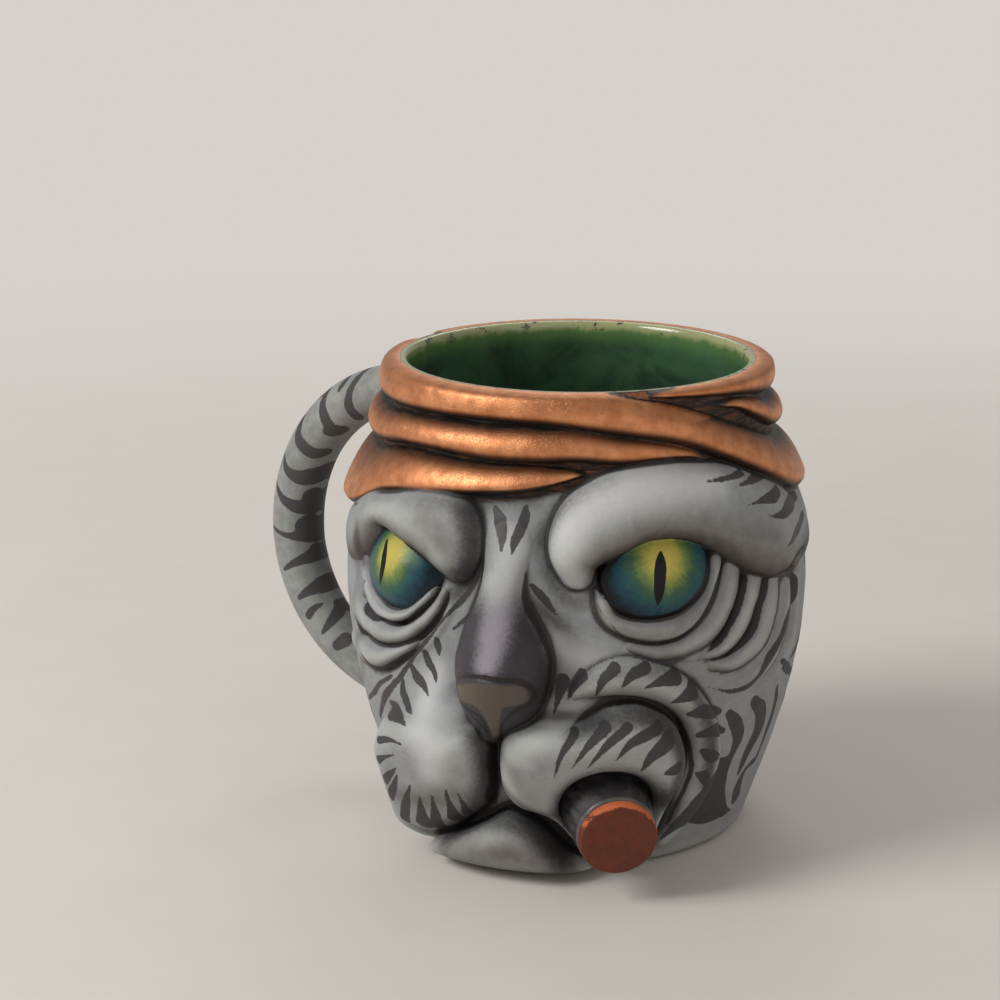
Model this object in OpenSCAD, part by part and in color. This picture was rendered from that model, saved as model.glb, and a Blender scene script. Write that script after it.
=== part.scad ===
// Sculpted stoneware mug: a cat's head in a wound headscarf, with its tail as the handle.
// The thrown cup is the core, and every other piece is clay laid on its outer wall.
// The foot stands on z = 0, +Z is up, the face looks along -Y and the cat's left is +X.

/* [Cup] */
// Height of the mug from the foot to the lip
mug_h = 107; // [98:1:116]
// Outer radius at the foot
foot_r = 38.5; // [37:0.5:40]
// Outer radius at the belly
belly_r = 52; // [50:0.5:54]
// Height of the belly above the foot
belly_z = 58; // [54:1:62]
// Outer radius at the rim
rim_r = 41.2; // [40:0.2:43]
// Thickness of the wall near the foot
wall_t = 5.6; // [4.5:0.1:6.5]
// Radius of the rounded lip
lip_r = 1.5; // [1.2:0.1:1.8]
// Thickness of the floor
floor_t = 7; // [5:0.5:9]
// Radius of the corner between floor and wall
floor_fillet = 9; // [6:0.5:12]
// Radius of the rounded edge under the foot
foot_round = 2.5; // [1.5:0.5:3.5]

/* [Glaze] */
// Thickness of the green glaze inside
glaze_t = 0.6; // [0.4:0.1:1]
// Bare clay left between the glaze and the top of the lip
glaze_stop = 1.8; // [1.6:0.1:3]

/* [Tail handle] */
// Angle of the tail round the cup, from the face towards the cat's left
tail_angle = -107; // [-112:1:-104]
// Diameter of the tail at its middle
tail_d = 12.6; // [11:0.1:14]
// Diameter of the tail where it joins the cup
tail_root_d = 11; // [10:0.1:12]
// How far the tail's centre line bows out
tail_reach = 36; // [33:0.5:39]
// Height of the middle of the tail
tail_z = 56; // [54:0.5:58]
// Half the rise of the tail's upper half
tail_rise = 38; // [36:0.5:40]
// Half the drop of the tail's lower half
tail_drop = 35; // [33:0.5:37]

/* [Headscarf] */
// How far the wound cloth stands off the wall
scarf_h = 4.2; // [3:0.1:5]

/* [Brows and eyes] */
// How far the left brow stands off the wall
brow_left_h = 7.6; // [6:0.1:9]
// How far the right brow stands off the wall
brow_right_h = 7; // [5.5:0.1:8.5]
// How far the eyeballs stand off the wall
eye_h = 4.6; // [3.5:0.1:5.5]
// How far the lower lids stand off the wall
lid_h = 3.4; // [2.5:0.1:4.5]
// How far the folds under the eyes stand off the wall
fold_h = 2.5; // [1.8:0.1:3.2]

/* [Nose and mouth] */
// How far the tip of the nose stands off the wall
nose_h = 14; // [11:0.5:16]
// How far the muzzle pads stand off the wall
muzzle_h = 10.5; // [8.5:0.5:12]
// How far the roll of the left cheek stands off the wall
cheek_h = 5; // [3.5:0.1:6]
// How far the chin stands off the wall
chin_h = 11; // [9:0.5:12]

/* [Cigar] */
// Angle of the cigar's root round the cup, from the face
cigar_angle = 22.5; // [21.5:0.5:23.5]
// Height of the middle of the cigar's root
cigar_z = 18; // [17:0.5:19]
// Radius of the cigar where it leaves the mouth
cigar_r = 9.6; // [8.6:0.1:10]
// Radius of the cigar's cut end
cigar_end_r = 8.4; // [7.6:0.1:8.6]
// Length of the cigar that shows beyond the wall
cigar_l = 16.2; // [14:0.2:19]
// Thickness of the red end piece
cigar_end_t = 2.4; // [2:0.1:3]
// How far the cigar turns away from the cup's radius, in degrees
cigar_turn = 3; // [0:0.5:4]
// How far the cigar hangs below the level, in degrees
cigar_tilt = 9; // [5:0.5:11]

/* [Joints between the clay pieces] */
// Slip left between the wall and each piece laid on it
slip_t = 0.2; // [0.15:0.05:0.3]
// Slip left between the wall and the ends of the tail
tail_slip_t = 0.3; // [0.25:0.05:0.4]
// Space kept between the cigar and the clay round it
cigar_clear = 1.6; // [1.2:0.1:2]
// Space kept between the tail and the ends of the scarf
scarf_clear = 1; // [0.8:0.1:1.5]

/* [Hidden] */

$fn = 96;
// Rows that draw the cup's profile
wall_rows = 22;
// Degrees round the belly that look as long as the mug is high
round_degrees = 118;
// Longest step along a roll of clay and along the scarf, in the same degrees
roll_step = 4.5;
scarf_step = 6.5;
// How square the crown of a roll is: 1 is half an ellipse
roll_power = 0.8;
// The same for a pad, which is fuller
pad_power = 0.65;
// Rings and sides of the tail
tail_rings = 26;
tail_sides = 14;
// Half of the turn that the tail makes clear of the wall, in degrees
tail_turn = 82;

// Half the angle that the tail's root and its clearance take round the rim
tail_room = asin((tail_root_d / 2 + scarf_clear) / rim_r);
// Angles where the scarf leaves the tail and comes back to it
scarf_start = tail_angle + tail_room;
scarf_finish = tail_angle + 360 - tail_room;

// Thrown cup

// Outer radius of the wall at a height: a quarter wave up to the belly, half a wave above it
function wall_at(z) =
    z < belly_z
        ? foot_r + (belly_r - foot_r) * sin(90 * z / belly_z)
        : rim_r + (belly_r - rim_r) * (1 + cos(180 * (z - belly_z) / (mug_h - belly_z))) / 2;

// Inner radius of the wall, which thins evenly towards the lip
function inside_at(z) = wall_at(z) - wall_t + (wall_t - 2 * lip_r) * z / (mug_h - lip_r);

// Line of the cavity from its top to the middle of the floor, moved inwards by inset
function cavity_line(top, inset) =
    let (low = floor_t + floor_fillet, corner = floor_fillet - inset)
    concat(
        [for (i = [0:wall_rows]) let (z = top + (low - top) * i / wall_rows) [inside_at(z) - inset, z]],
        [for (turn = [15:15:90]) [
            inside_at(low) - inset - corner + corner * cos(turn),
            low - corner * sin(turn)
        ]],
        [[0, floor_t + inset]]
    );

function reversed(list) = [for (i = [len(list) - 1:-1:0]) list[i]];

module cup_wall() {
    lip_z = mug_h - lip_r;
    foot = [for (turn = [0:15:75]) [
        wall_at(foot_round) - foot_round + foot_round * sin(turn), foot_round - foot_round * cos(turn)
    ]];
    outside = [for (i = [0:wall_rows])
        let (z = foot_round + (lip_z - foot_round) * i / wall_rows)
        [wall_at(z), z]
    ];
    lip = [for (turn = [30:30:150]) [
        wall_at(lip_z) - lip_r + lip_r * cos(turn), lip_z + lip_r * sin(turn)
    ]];
    color([0.56, 0.57, 0.56])
        rotate_extrude()
            polygon(concat([[0, 0]], foot, outside, lip, cavity_line(lip_z, 0)));
}

module inner_glaze() {
    top = mug_h - glaze_stop;
    color([0.16, 0.38, 0.22])
        rotate_extrude()
            polygon(concat(
                cavity_line(top, slip_t / 2),
                reversed(cavity_line(top, slip_t / 2 + glaze_t))
            ));
}

// Clay laid on the wall

// A place on the cup: angle from the face, share of the mug's height, and lift off the slip
function spot(angle, z_share, lift) =
    let (z = z_share * mug_h, r = wall_at(z) + slip_t + lift)
    [r * sin(angle), -r * cos(angle), z];

// Distance between two rows on the unrolled wall, as a share of the mug's height
function row_gap(a, b) = norm([(b[0] - a[0]) / round_degrees, b[1] - a[1]]);

// Slope of a smooth line at row i, per unit of distance
function row_slope(rows, i) =
    let (
        last = len(rows) - 1,
        before = i > 0 ? row_gap(rows[i - 1], rows[i]) : 0,
        after = i < last ? row_gap(rows[i], rows[i + 1]) : 0
    )
    i == 0 ? (rows[1] - rows[0]) / after
    : i == last ? (rows[last] - rows[last - 1]) / before
    : ((rows[i + 1] - rows[i]) * before / after + (rows[i] - rows[i - 1]) * after / before)
        / (before + after);

// Cubic curve between rows i and i + 1
function row_between(rows, i, t) =
    let (reach = row_gap(rows[i], rows[i + 1]))
    rows[i] * (2 * pow(t, 3) - 3 * pow(t, 2) + 1)
    + row_slope(rows, i) * reach * (pow(t, 3) - 2 * pow(t, 2) + t)
    + rows[i + 1] * (3 * pow(t, 2) - 2 * pow(t, 3))
    + row_slope(rows, i + 1) * reach * (pow(t, 3) - pow(t, 2));

// The rows with smooth ones put between them, no further apart than step degrees
function smooth_rows(rows, step) = concat(
    [for (i = [0:len(rows) - 2])
        let (count = ceil(row_gap(rows[i], rows[i + 1]) * round_degrees / step))
        for (k = [0:count - 1]) row_between(rows, i, k / count)],
    [rows[len(rows) - 1]]
);

// Direction across a smooth line at row i, on the unrolled wall
function across(line, i) =
    let (
        a = line[max(i - 1, 0)],
        b = line[min(i + 1, len(line) - 1)],
        along = [(b[0] - a[0]) / round_degrees, b[1] - a[1]]
    )
    [along[1], -along[0]] / norm(along);

// One point of a roll's section: side runs from -1 to 1 across it
function roll_point(row, sideways, side, lift) =
    spot(row[0] + sideways[0] * side * row[2] * round_degrees, row[1] + sideways[1] * side * row[2], lift);

// A rolled strip of clay. Each row has an angle, and shares of the mug's height, half width and crown height
module clay_roll(rows, crown, step, strips) {
    line = smooth_rows(rows, step);
    ring = 2 * strips;
    places = [
        for (i = [0:len(line) - 1])
            let (sideways = across(line, i), row = line[i])
            for (j = [0:ring - 1])
                let (turn = 180 * (j < strips ? j : ring - j) / strips)
                roll_point(row, sideways, -cos(turn),
                    j < strips ? crown * row[3] * pow(sin(turn), roll_power) : 0)
    ];
    last = len(line) - 1;
    sides = [
        for (i = [0:last - 1])
            for (j = [0:ring - 1])
                let (a = i * ring + j, b = i * ring + (j + 1) % ring, c = b + ring, d = a + ring)
                each [[a, b, c], [a, c, d]]
    ];
    caps = [
        for (end = [0, 1])
            let (from = end * last * ring)
            for (j = [0:strips - 1])
                let (a = j, b = j + 1, c = ring - j - 1, d = (ring - j) % ring)
                each [
                    for (face = concat(b == c ? [] : [[a, c, b]], a == d ? [] : [[a, d, c]]))
                        [for (k = [0:2]) from + face[end == 0 ? k : 2 - k]]
                ]
    ];
    polyhedron(places, concat(sides, caps));
}

// Point on a closed smooth outline, t of the way past point i
function outline_point(outline, i, t) =
    let (
        n = len(outline),
        a = outline[(i + n - 1) % n], b = outline[i % n], c = outline[(i + 1) % n], d = outline[(i + 2) % n]
    )
    b
    + (c - a) * t / 2
    + (2 * a - 5 * b + 4 * c - d) * pow(t, 2) / 2
    + (3 * b - a - 3 * c + d) * pow(t, 3) / 2;

// A domed pad of clay over an outline that runs anticlockwise, with its crown at the middle
module clay_pad(outline, middle, crown, steps, rings) {
    edge = [for (i = [0:len(outline) - 1]) for (k = [0:steps - 1]) outline_point(outline, i, k / steps)];
    n = len(edge);
    function pad_ring(k, lift_share) = [
        for (p = edge)
            let (q = middle + (p - middle) * cos(90 * k / rings))
            spot(q[0], q[1], crown * lift_share)
    ];
    tops = [for (k = [0:rings - 1]) each pad_ring(k, pow(sin(90 * k / rings), pad_power))];
    bases = [for (k = [1:rings - 1]) each pad_ring(k, 0)];
    apex = [spot(middle[0], middle[1], crown), spot(middle[0], middle[1], 0)];
    peak = (2 * rings - 1) * n;
    top_faces = [
        for (k = [0:rings - 2])
            for (j = [0:n - 1])
                let (a = k * n + j, b = k * n + (j + 1) % n)
                each [[a, a + n, b], [b, a + n, b + n]]
    ];
    // Base ring 0 is the outline, and the later base rings follow the top ones
    function base_at(k, j) = (k == 0 ? 0 : (rings + k - 1) * n) + j % n;
    base_faces = [
        for (k = [0:rings - 2])
            for (j = [0:n - 1])
                each [
                    [base_at(k, j), base_at(k, j + 1), base_at(k + 1, j)],
                    [base_at(k, j + 1), base_at(k + 1, j + 1), base_at(k + 1, j)]
                ]
    ];
    fans = [
        for (j = [0:n - 1])
            each [
                [(rings - 1) * n + j, peak, (rings - 1) * n + (j + 1) % n],
                [base_at(rings - 1, j), base_at(rings - 1, j + 1), peak + 1]
            ]
    ];
    polyhedron(concat(tops, bases, apex), concat(top_faces, base_faces, fans));
}

// Tail handle

tail_out = [sin(tail_angle), -cos(tail_angle), 0];
tail_side = [cos(tail_angle), sin(tail_angle), 0];
tail_up = [0, 0, 1];

// Centre line of the tail: half an ellipse, at a turn from -90 below to 90 above
function tail_middle(turn) =
    tail_out * (wall_at(tail_z + tail_rise) + slip_t + tail_reach * cos(turn))
    + tail_up * (tail_z + (turn > 0 ? tail_rise : tail_drop) * sin(turn));

// Direction out of the bow, square to the centre line
function tail_normal(turn) =
    let (way = tail_out * (turn > 0 ? tail_rise : tail_drop) * cos(turn) + tail_up * tail_reach * sin(turn))
    way / norm(way);

function tail_radius(turn) = (tail_root_d + (tail_d - tail_root_d) * cos(turn)) / 2;

// A point moved straight in or out to the wall
function on_wall(p) =
    let (r = wall_at(p[2]) + tail_slip_t, away = norm([p[0], p[1]]))
    [p[0] * r / away, p[1] * r / away, p[2]];

function tail_ring(turn) = [
    for (j = [0:tail_sides - 1])
        let (round = 360 * j / tail_sides)
        tail_middle(turn) + tail_radius(turn) * (tail_normal(turn) * cos(round) + tail_side * sin(round))
];

module tail_handle() {
    free_rings = [
        for (i = [0:tail_rings]) tail_ring(tail_turn - 2 * tail_turn * i / tail_rings)
    ];
    rings = concat(
        [[for (p = free_rings[0]) on_wall(p)]],
        free_rings,
        [[for (p = free_rings[tail_rings]) on_wall(p)]]
    );
    last = len(rings) - 1;
    seats = [on_wall(tail_middle(tail_turn)), on_wall(tail_middle(-tail_turn))];
    sides = [
        for (i = [0:last - 1])
            for (j = [0:tail_sides - 1])
                let (
                    a = i * tail_sides + j, b = i * tail_sides + (j + 1) % tail_sides,
                    c = b + tail_sides, d = a + tail_sides
                )
                each [[a, b, c], [a, c, d]]
    ];
    points = (last + 1) * tail_sides;
    caps = [
        for (j = [0:tail_sides - 1])
            let (k = (j + 1) % tail_sides, far = last * tail_sides)
            each [[points, k, j], [points + 1, far + j, far + k]]
    ];
    color([0.60, 0.62, 0.61])
        polyhedron(concat([for (ring = rings) each ring], seats), concat(sides, caps));
}

// Headscarf: rows of angle, height share, half width share and crown share

scarf_top_shares = [
    [scarf_start, 0.965, 0.029, 0.65], [-72, 0.965, 0.030, 0.68], [-46, 0.966, 0.029, 0.72],
    [-26, 0.970, 0.026, 0.72], [-8, 0.972, 0.024, 0.72], [10, 0.971, 0.025, 0.74], [21, 0.963, 0.030, 0.8],
    [31, 0.955, 0.034, 0.9], [40, 0.941, 0.034, 0.95], [49, 0.922, 0.033, 1], [59, 0.893, 0.037, 1],
    [72, 0.852, 0.042, 1], [86, 0.811, 0.049, 1], [108, 0.791, 0.057, 1], [150, 0.787, 0.059, 1],
    [200, 0.784, 0.060, 1], [scarf_finish, 0.780, 0.059, 1]
];
scarf_middle_shares = [
    [scarf_start, 0.890, 0.035, 0.9], [-76, 0.886, 0.035, 0.9], [-56, 0.882, 0.034, 0.9],
    [-39, 0.896, 0.032, 0.95], [-24, 0.900, 0.032, 0.95], [-11, 0.899, 0.035, 0.95], [4, 0.901, 0.035, 0.9],
    [16, 0.901, 0.032, 0.8], [26, 0.891, 0.028, 0.7], [36, 0.887, 0.022, 0.6], [46, 0.877, 0.013, 0.45],
    [54, 0.858, 0.006, 0.25]
];
scarf_low_shares = [
    [scarf_start, 0.780, 0.059, 1], [-76, 0.776, 0.059, 1], [-59, 0.774, 0.056, 1], [-43, 0.811, 0.042, 1],
    [-28, 0.823, 0.035, 0.95], [-12, 0.830, 0.027, 0.8], [2, 0.838, 0.021, 0.65], [11, 0.846, 0.010, 0.45],
    [16, 0.849, 0.004, 0.2]
];
scarf_back_top_shares = [
    [36, 0.991, 0.004, 0.2], [46, 0.990, 0.005, 0.3], [57, 0.988, 0.008, 0.4], [70, 0.983, 0.012, 0.55],
    [86, 0.972, 0.022, 0.62], [108, 0.968, 0.026, 0.65], [150, 0.967, 0.027, 0.65],
    [scarf_finish, 0.966, 0.028, 0.65]
];
scarf_back_middle_shares = [
    [60, 0.956, 0.005, 0.2], [68, 0.950, 0.011, 0.4], [77, 0.930, 0.019, 0.6], [88, 0.905, 0.026, 0.7],
    [108, 0.897, 0.033, 0.8], [150, 0.895, 0.035, 0.85], [scarf_finish, 0.893, 0.035, 0.85]
];

module scarf_piece(rows) {
    color([0.62, 0.36, 0.22])
        clay_roll(rows, scarf_h, scarf_step, 4);
}

module scarf_top_wrap() { scarf_piece(scarf_top_shares); }
module scarf_middle_roll() { scarf_piece(scarf_middle_shares); }
module scarf_low_roll() { scarf_piece(scarf_low_shares); }
module scarf_back_top_roll() { scarf_piece(scarf_back_top_shares); }
module scarf_back_middle_roll() { scarf_piece(scarf_back_middle_shares); }

// Brows, eyes, lids and folds

brow_left_shares = [
    [12.6, 0.632, 0.019, 0.35], [12.0, 0.663, 0.041, 0.85], [12.6, 0.706, 0.053, 1], [16, 0.755, 0.056, 1],
    [22.5, 0.785, 0.057, 0.95], [31, 0.792, 0.062, 0.9], [41, 0.791, 0.064, 0.9], [51, 0.770, 0.068, 0.95],
    [60, 0.737, 0.074, 1], [68, 0.708, 0.068, 0.9], [76, 0.695, 0.051, 0.6], [84, 0.690, 0.019, 0.25]
];
brow_right_shares = [
    [-12.6, 0.632, 0.019, 0.35], [-12.3, 0.663, 0.039, 0.85], [-13.8, 0.704, 0.049, 1],
    [-18.5, 0.728, 0.049, 1], [-25.5, 0.734, 0.046, 0.95], [-32, 0.739, 0.036, 0.85],
    [-38.5, 0.735, 0.030, 0.8], [-45.5, 0.713, 0.033, 0.7], [-53, 0.683, 0.035, 0.55],
    [-61, 0.657, 0.031, 0.4], [-69, 0.643, 0.014, 0.2]
];
eye_left_shares = [
    [20.7, 0.659], [22.3, 0.623], [25, 0.597], [28.5, 0.585], [32.6, 0.586], [37.5, 0.603], [41.5, 0.633],
    [43.8, 0.671], [42.6, 0.696], [39, 0.710], [34, 0.713], [28.5, 0.706], [24, 0.685]
];
eye_left_middle_shares = [32.5, 0.650];
eye_right_shares = [
    [-18.8, 0.636], [-23.5, 0.661], [-28.5, 0.683], [-33.5, 0.693], [-37.8, 0.689], [-39.6, 0.661],
    [-38.3, 0.622], [-34.8, 0.592], [-29.8, 0.579], [-24.8, 0.582], [-20.8, 0.603]
];
eye_right_middle_shares = [-30, 0.637];
lid_left_shares = [
    [19, 0.626, 0.006, 0.3], [21, 0.601, 0.013, 0.8], [25.3, 0.566, 0.021, 1], [31, 0.551, 0.027, 1],
    [37.5, 0.562, 0.030, 1], [43, 0.595, 0.030, 1], [46.8, 0.642, 0.024, 0.9], [47.4, 0.681, 0.010, 0.4]
];
lid_right_shares = [
    [-19.5, 0.593, 0.005, 0.2], [-22, 0.575, 0.009, 0.6], [-26, 0.557, 0.014, 0.9], [-30.5, 0.548, 0.021, 1],
    [-35.5, 0.549, 0.026, 1], [-40, 0.577, 0.024, 1], [-42.6, 0.622, 0.021, 0.9], [-42.8, 0.659, 0.010, 0.4]
];
fold_left_upper_shares = [
    [33, 0.510, 0.005, 0.3], [38, 0.506, 0.012, 0.8], [43.5, 0.517, 0.017, 1], [48.3, 0.544, 0.020, 1],
    [51.8, 0.583, 0.021, 1], [53.5, 0.625, 0.016, 0.8], [53.8, 0.650, 0.008, 0.4]
];
fold_left_middle_shares = [
    [40.5, 0.475, 0.005, 0.3], [46, 0.482, 0.013, 0.8], [51.5, 0.502, 0.019, 1], [56, 0.538, 0.021, 1],
    [59, 0.581, 0.019, 0.9], [60, 0.612, 0.009, 0.4]
];
fold_left_lower_shares = [
    [47.5, 0.438, 0.005, 0.3], [53.5, 0.451, 0.014, 0.8], [60, 0.481, 0.021, 1], [65, 0.523, 0.022, 0.9],
    [67.5, 0.566, 0.016, 0.7], [68, 0.594, 0.008, 0.3]
];
fold_right_upper_shares = [
    [-17.5, 0.591, 0.005, 0.3], [-20.5, 0.554, 0.010, 0.8], [-26, 0.521, 0.016, 1], [-33.8, 0.492, 0.022, 1],
    [-41, 0.489, 0.026, 1], [-47, 0.515, 0.029, 1], [-49.5, 0.568, 0.025, 0.9], [-49.5, 0.618, 0.011, 0.4]
];
fold_right_lower_shares = [
    [-27, 0.475, 0.005, 0.3], [-33, 0.446, 0.012, 0.8], [-41, 0.427, 0.020, 1], [-50, 0.427, 0.024, 1],
    [-57, 0.459, 0.024, 0.9], [-60.5, 0.507, 0.016, 0.6], [-61.5, 0.548, 0.008, 0.3]
];

module brow(rows, crown) {
    color([0.58, 0.60, 0.59])
        clay_roll(rows, crown, roll_step, 6);
}

module eye(outline, middle) {
    color([0.66, 0.70, 0.28])
        clay_pad(outline, middle, eye_h, 2, 4);
}

module lid(rows) {
    color([0.62, 0.64, 0.63])
        clay_roll(rows, lid_h, roll_step, 4);
}

module fold(rows) {
    color([0.54, 0.56, 0.55])
        clay_roll(rows, fold_h, roll_step, 4);
}

module brow_left() { brow(brow_left_shares, brow_left_h); }
module brow_right() { brow(brow_right_shares, brow_right_h); }
module eye_left() { eye(eye_left_shares, eye_left_middle_shares); }
module eye_right() { eye(eye_right_shares, eye_right_middle_shares); }
module lid_left() { lid(lid_left_shares); }
module lid_right() { lid(lid_right_shares); }
module fold_left_upper() { fold(fold_left_upper_shares); }
module fold_left_middle() { fold(fold_left_middle_shares); }
module fold_left_lower() { fold(fold_left_lower_shares); }
module fold_right_upper() { fold(fold_right_upper_shares); }
module fold_right_lower() { fold(fold_right_lower_shares); }

// Nose, muzzle, cheek and chin

nose_bridge_shares = [
    [0, 0.769, 0.027, 0.12], [0.3, 0.712, 0.035, 0.32], [0.3, 0.645, 0.045, 0.58], [0, 0.579, 0.062, 0.82],
    [-0.6, 0.527, 0.080, 0.97], [-0.8, 0.491, 0.087, 1]
];
nose_tip_shares = [
    [-0.8, 0.488, 0.087, 1], [-1, 0.455, 0.089, 0.86], [-1.2, 0.424, 0.078, 0.72], [-1.4, 0.399, 0.049, 0.58],
    [-1.5, 0.379, 0.023, 0.45], [-1.5, 0.359, 0.009, 0.3]
];

// A place on the unrolled wall beside the cigar's root: turn 0 is the cat's left, 90 is up
function beside_cigar(turn) =
    let (room = cigar_r + cigar_clear)
    [cigar_angle + room * cos(turn) / wall_at(cigar_z) * 180 / PI, (cigar_z + room * sin(turn)) / mug_h];

muzzle_left_shares = [
    [-3.2, 0.334], [-4.2, 0.280], [-3.8, 0.219], [-0.5, 0.173], [5, 0.145],
    beside_cigar(185), beside_cigar(145), beside_cigar(105), beside_cigar(65), beside_cigar(35),
    [38.5, 0.193], [41, 0.250], [41.5, 0.316], [39.5, 0.378], [34, 0.422], [26.5, 0.440], [19, 0.427],
    [12, 0.398], [4, 0.368]
];
muzzle_left_middle_shares = [16, 0.334];
muzzle_right_shares = [
    [-6, 0.368], [-9, 0.385], [-14, 0.400], [-23, 0.400], [-33, 0.372], [-41.5, 0.312], [-45, 0.235],
    [-43, 0.150], [-36, 0.085], [-25, 0.058], [-15.5, 0.080], [-9.5, 0.120], [-6.2, 0.178], [-5.4, 0.250],
    [-5.2, 0.322]
];
muzzle_right_middle_shares = [-21, 0.250];
cheek_left_shares = [
    [13.5, 0.443, 0.011, 0.5], [19.5, 0.467, 0.023, 0.9], [27, 0.477, 0.025, 1], [34.5, 0.462, 0.026, 1],
    [41.5, 0.423, 0.031, 1], [46.8, 0.361, 0.038, 1], [48.5, 0.291, 0.043, 1], [47.5, 0.219, 0.043, 1],
    [44.5, 0.157, 0.037, 0.9], [41.5, 0.106, 0.027, 0.7], [39, 0.070, 0.012, 0.4]
];
chin_shares = [
    [9, 0.094], [6, 0.116], [2, 0.138], [-2.5, 0.144], [-6.5, 0.120], [-10.5, 0.088], [-17, 0.052],
    [-25, 0.038], [-31, 0.034], [-31, 0.020], [-21, 0.011], [-8, 0.008], [4, 0.008], [14, 0.009], [22, 0.014],
    [20, 0.032], [12.5, 0.062]
];
chin_middle_shares = [-4, 0.060];

module nose_piece(rows) {
    color([0.30, 0.28, 0.33])
        clay_roll(rows, nose_h, roll_step, 8);
}

module muzzle(outline, middle) {
    color([0.60, 0.62, 0.61])
        clay_pad(outline, middle, muzzle_h, 2, 5);
}

module nose_bridge() { nose_piece(nose_bridge_shares); }
module nose_tip() { nose_piece(nose_tip_shares); }
module muzzle_left() { muzzle(muzzle_left_shares, muzzle_left_middle_shares); }
module muzzle_right() { muzzle(reversed(muzzle_right_shares), muzzle_right_middle_shares); }

module cheek_left() {
    color([0.56, 0.58, 0.57])
        clay_roll(cheek_left_shares, cheek_h, roll_step, 6);
}

module chin() {
    color([0.55, 0.57, 0.55])
        clay_pad(reversed(chin_shares), chin_middle_shares, chin_h, 2, 4);
}

// Cigar

// Puts its children on the cigar's root, with +Z out of the mouth along the cigar
module at_cigar() {
    root = wall_at(cigar_z);
    translate([root * sin(cigar_angle), -root * cos(cigar_angle), cigar_z])
        rotate([0, 0, cigar_angle + cigar_turn])
            rotate([90 + cigar_tilt, 0, 0])
                children();
}

// The wall's outside and its slip, as a solid to cut with
module wall_and_slip() {
    rotate_extrude()
        polygon(concat(
            [[0, 0]],
            [for (i = [0:wall_rows]) let (z = mug_h * i / wall_rows) [wall_at(z) + slip_t, z]],
            [[0, mug_h]]
        ));
}

module cigar_wrapper() {
    color([0.13, 0.12, 0.13])
        difference() {
            at_cigar()
                translate([0, 0, -wall_t / 2])
                    cylinder(h = cigar_l - cigar_end_t + wall_t / 2, r1 = cigar_r, r2 = cigar_end_r);
            wall_and_slip();
        }
}

module cigar_end() {
    edge = cigar_end_t / 4;
    color([0.45, 0.20, 0.12])
        at_cigar()
            translate([0, 0, cigar_l - cigar_end_t])
                rotate_extrude()
                    polygon([
                        [0, 0], [cigar_end_r, 0], [cigar_end_r, cigar_end_t - edge],
                        [cigar_end_r - edge, cigar_end_t], [0, cigar_end_t]
                    ]);
}

cup_wall();
inner_glaze();
tail_handle();
scarf_top_wrap();
scarf_middle_roll();
scarf_low_roll();
scarf_back_top_roll();
scarf_back_middle_roll();
brow_left();
brow_right();
eye_left();
eye_right();
lid_left();
lid_right();
fold_left_upper();
fold_left_middle();
fold_left_lower();
fold_right_upper();
fold_right_lower();
nose_bridge();
nose_tip();
muzzle_left();
muzzle_right();
cheek_left();
chin();
cigar_wrapper();
cigar_end();
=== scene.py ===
import bpy
import numpy as np
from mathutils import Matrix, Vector


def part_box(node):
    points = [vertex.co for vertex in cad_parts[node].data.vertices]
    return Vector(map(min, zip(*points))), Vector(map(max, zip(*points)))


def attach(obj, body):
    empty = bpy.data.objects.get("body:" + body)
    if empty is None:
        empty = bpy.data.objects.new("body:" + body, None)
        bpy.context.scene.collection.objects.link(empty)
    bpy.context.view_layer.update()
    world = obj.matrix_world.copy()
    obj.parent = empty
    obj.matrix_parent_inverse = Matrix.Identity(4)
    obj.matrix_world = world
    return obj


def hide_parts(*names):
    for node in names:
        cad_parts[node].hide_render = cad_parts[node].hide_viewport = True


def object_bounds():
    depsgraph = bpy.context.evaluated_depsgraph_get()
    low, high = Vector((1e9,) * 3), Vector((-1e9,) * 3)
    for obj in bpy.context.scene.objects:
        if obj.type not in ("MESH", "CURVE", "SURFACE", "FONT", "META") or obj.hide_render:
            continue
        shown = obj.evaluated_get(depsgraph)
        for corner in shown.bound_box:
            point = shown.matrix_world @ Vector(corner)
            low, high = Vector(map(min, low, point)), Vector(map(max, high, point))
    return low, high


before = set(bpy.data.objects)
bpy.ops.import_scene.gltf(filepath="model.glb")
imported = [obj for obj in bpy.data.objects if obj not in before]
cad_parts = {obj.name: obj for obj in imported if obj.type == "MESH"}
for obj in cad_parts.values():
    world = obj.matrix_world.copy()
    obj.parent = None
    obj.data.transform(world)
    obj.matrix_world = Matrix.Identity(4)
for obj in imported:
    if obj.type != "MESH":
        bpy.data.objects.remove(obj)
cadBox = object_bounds()
print("frame loaded:", len(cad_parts), "pieces of clay")

mm = 0.001

# The photograph's camera, which also places the painted strokes
camera = {
    "place": (0.142152, -0.558501, 0.226591),  # metres
    "heading": 16.0,  # degrees turned to the left of +Y
    "pitch": 14.9,  # degrees looking down
    "lens": 94.8,  # millimetres
    "sensor": 36.0,  # millimetres
    "pixels": 1000,  # the picture's width and height
    "sight": (480, 640, 0.2),  # where the head is looked for, millimetres from the camera: first, last, step
}

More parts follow.
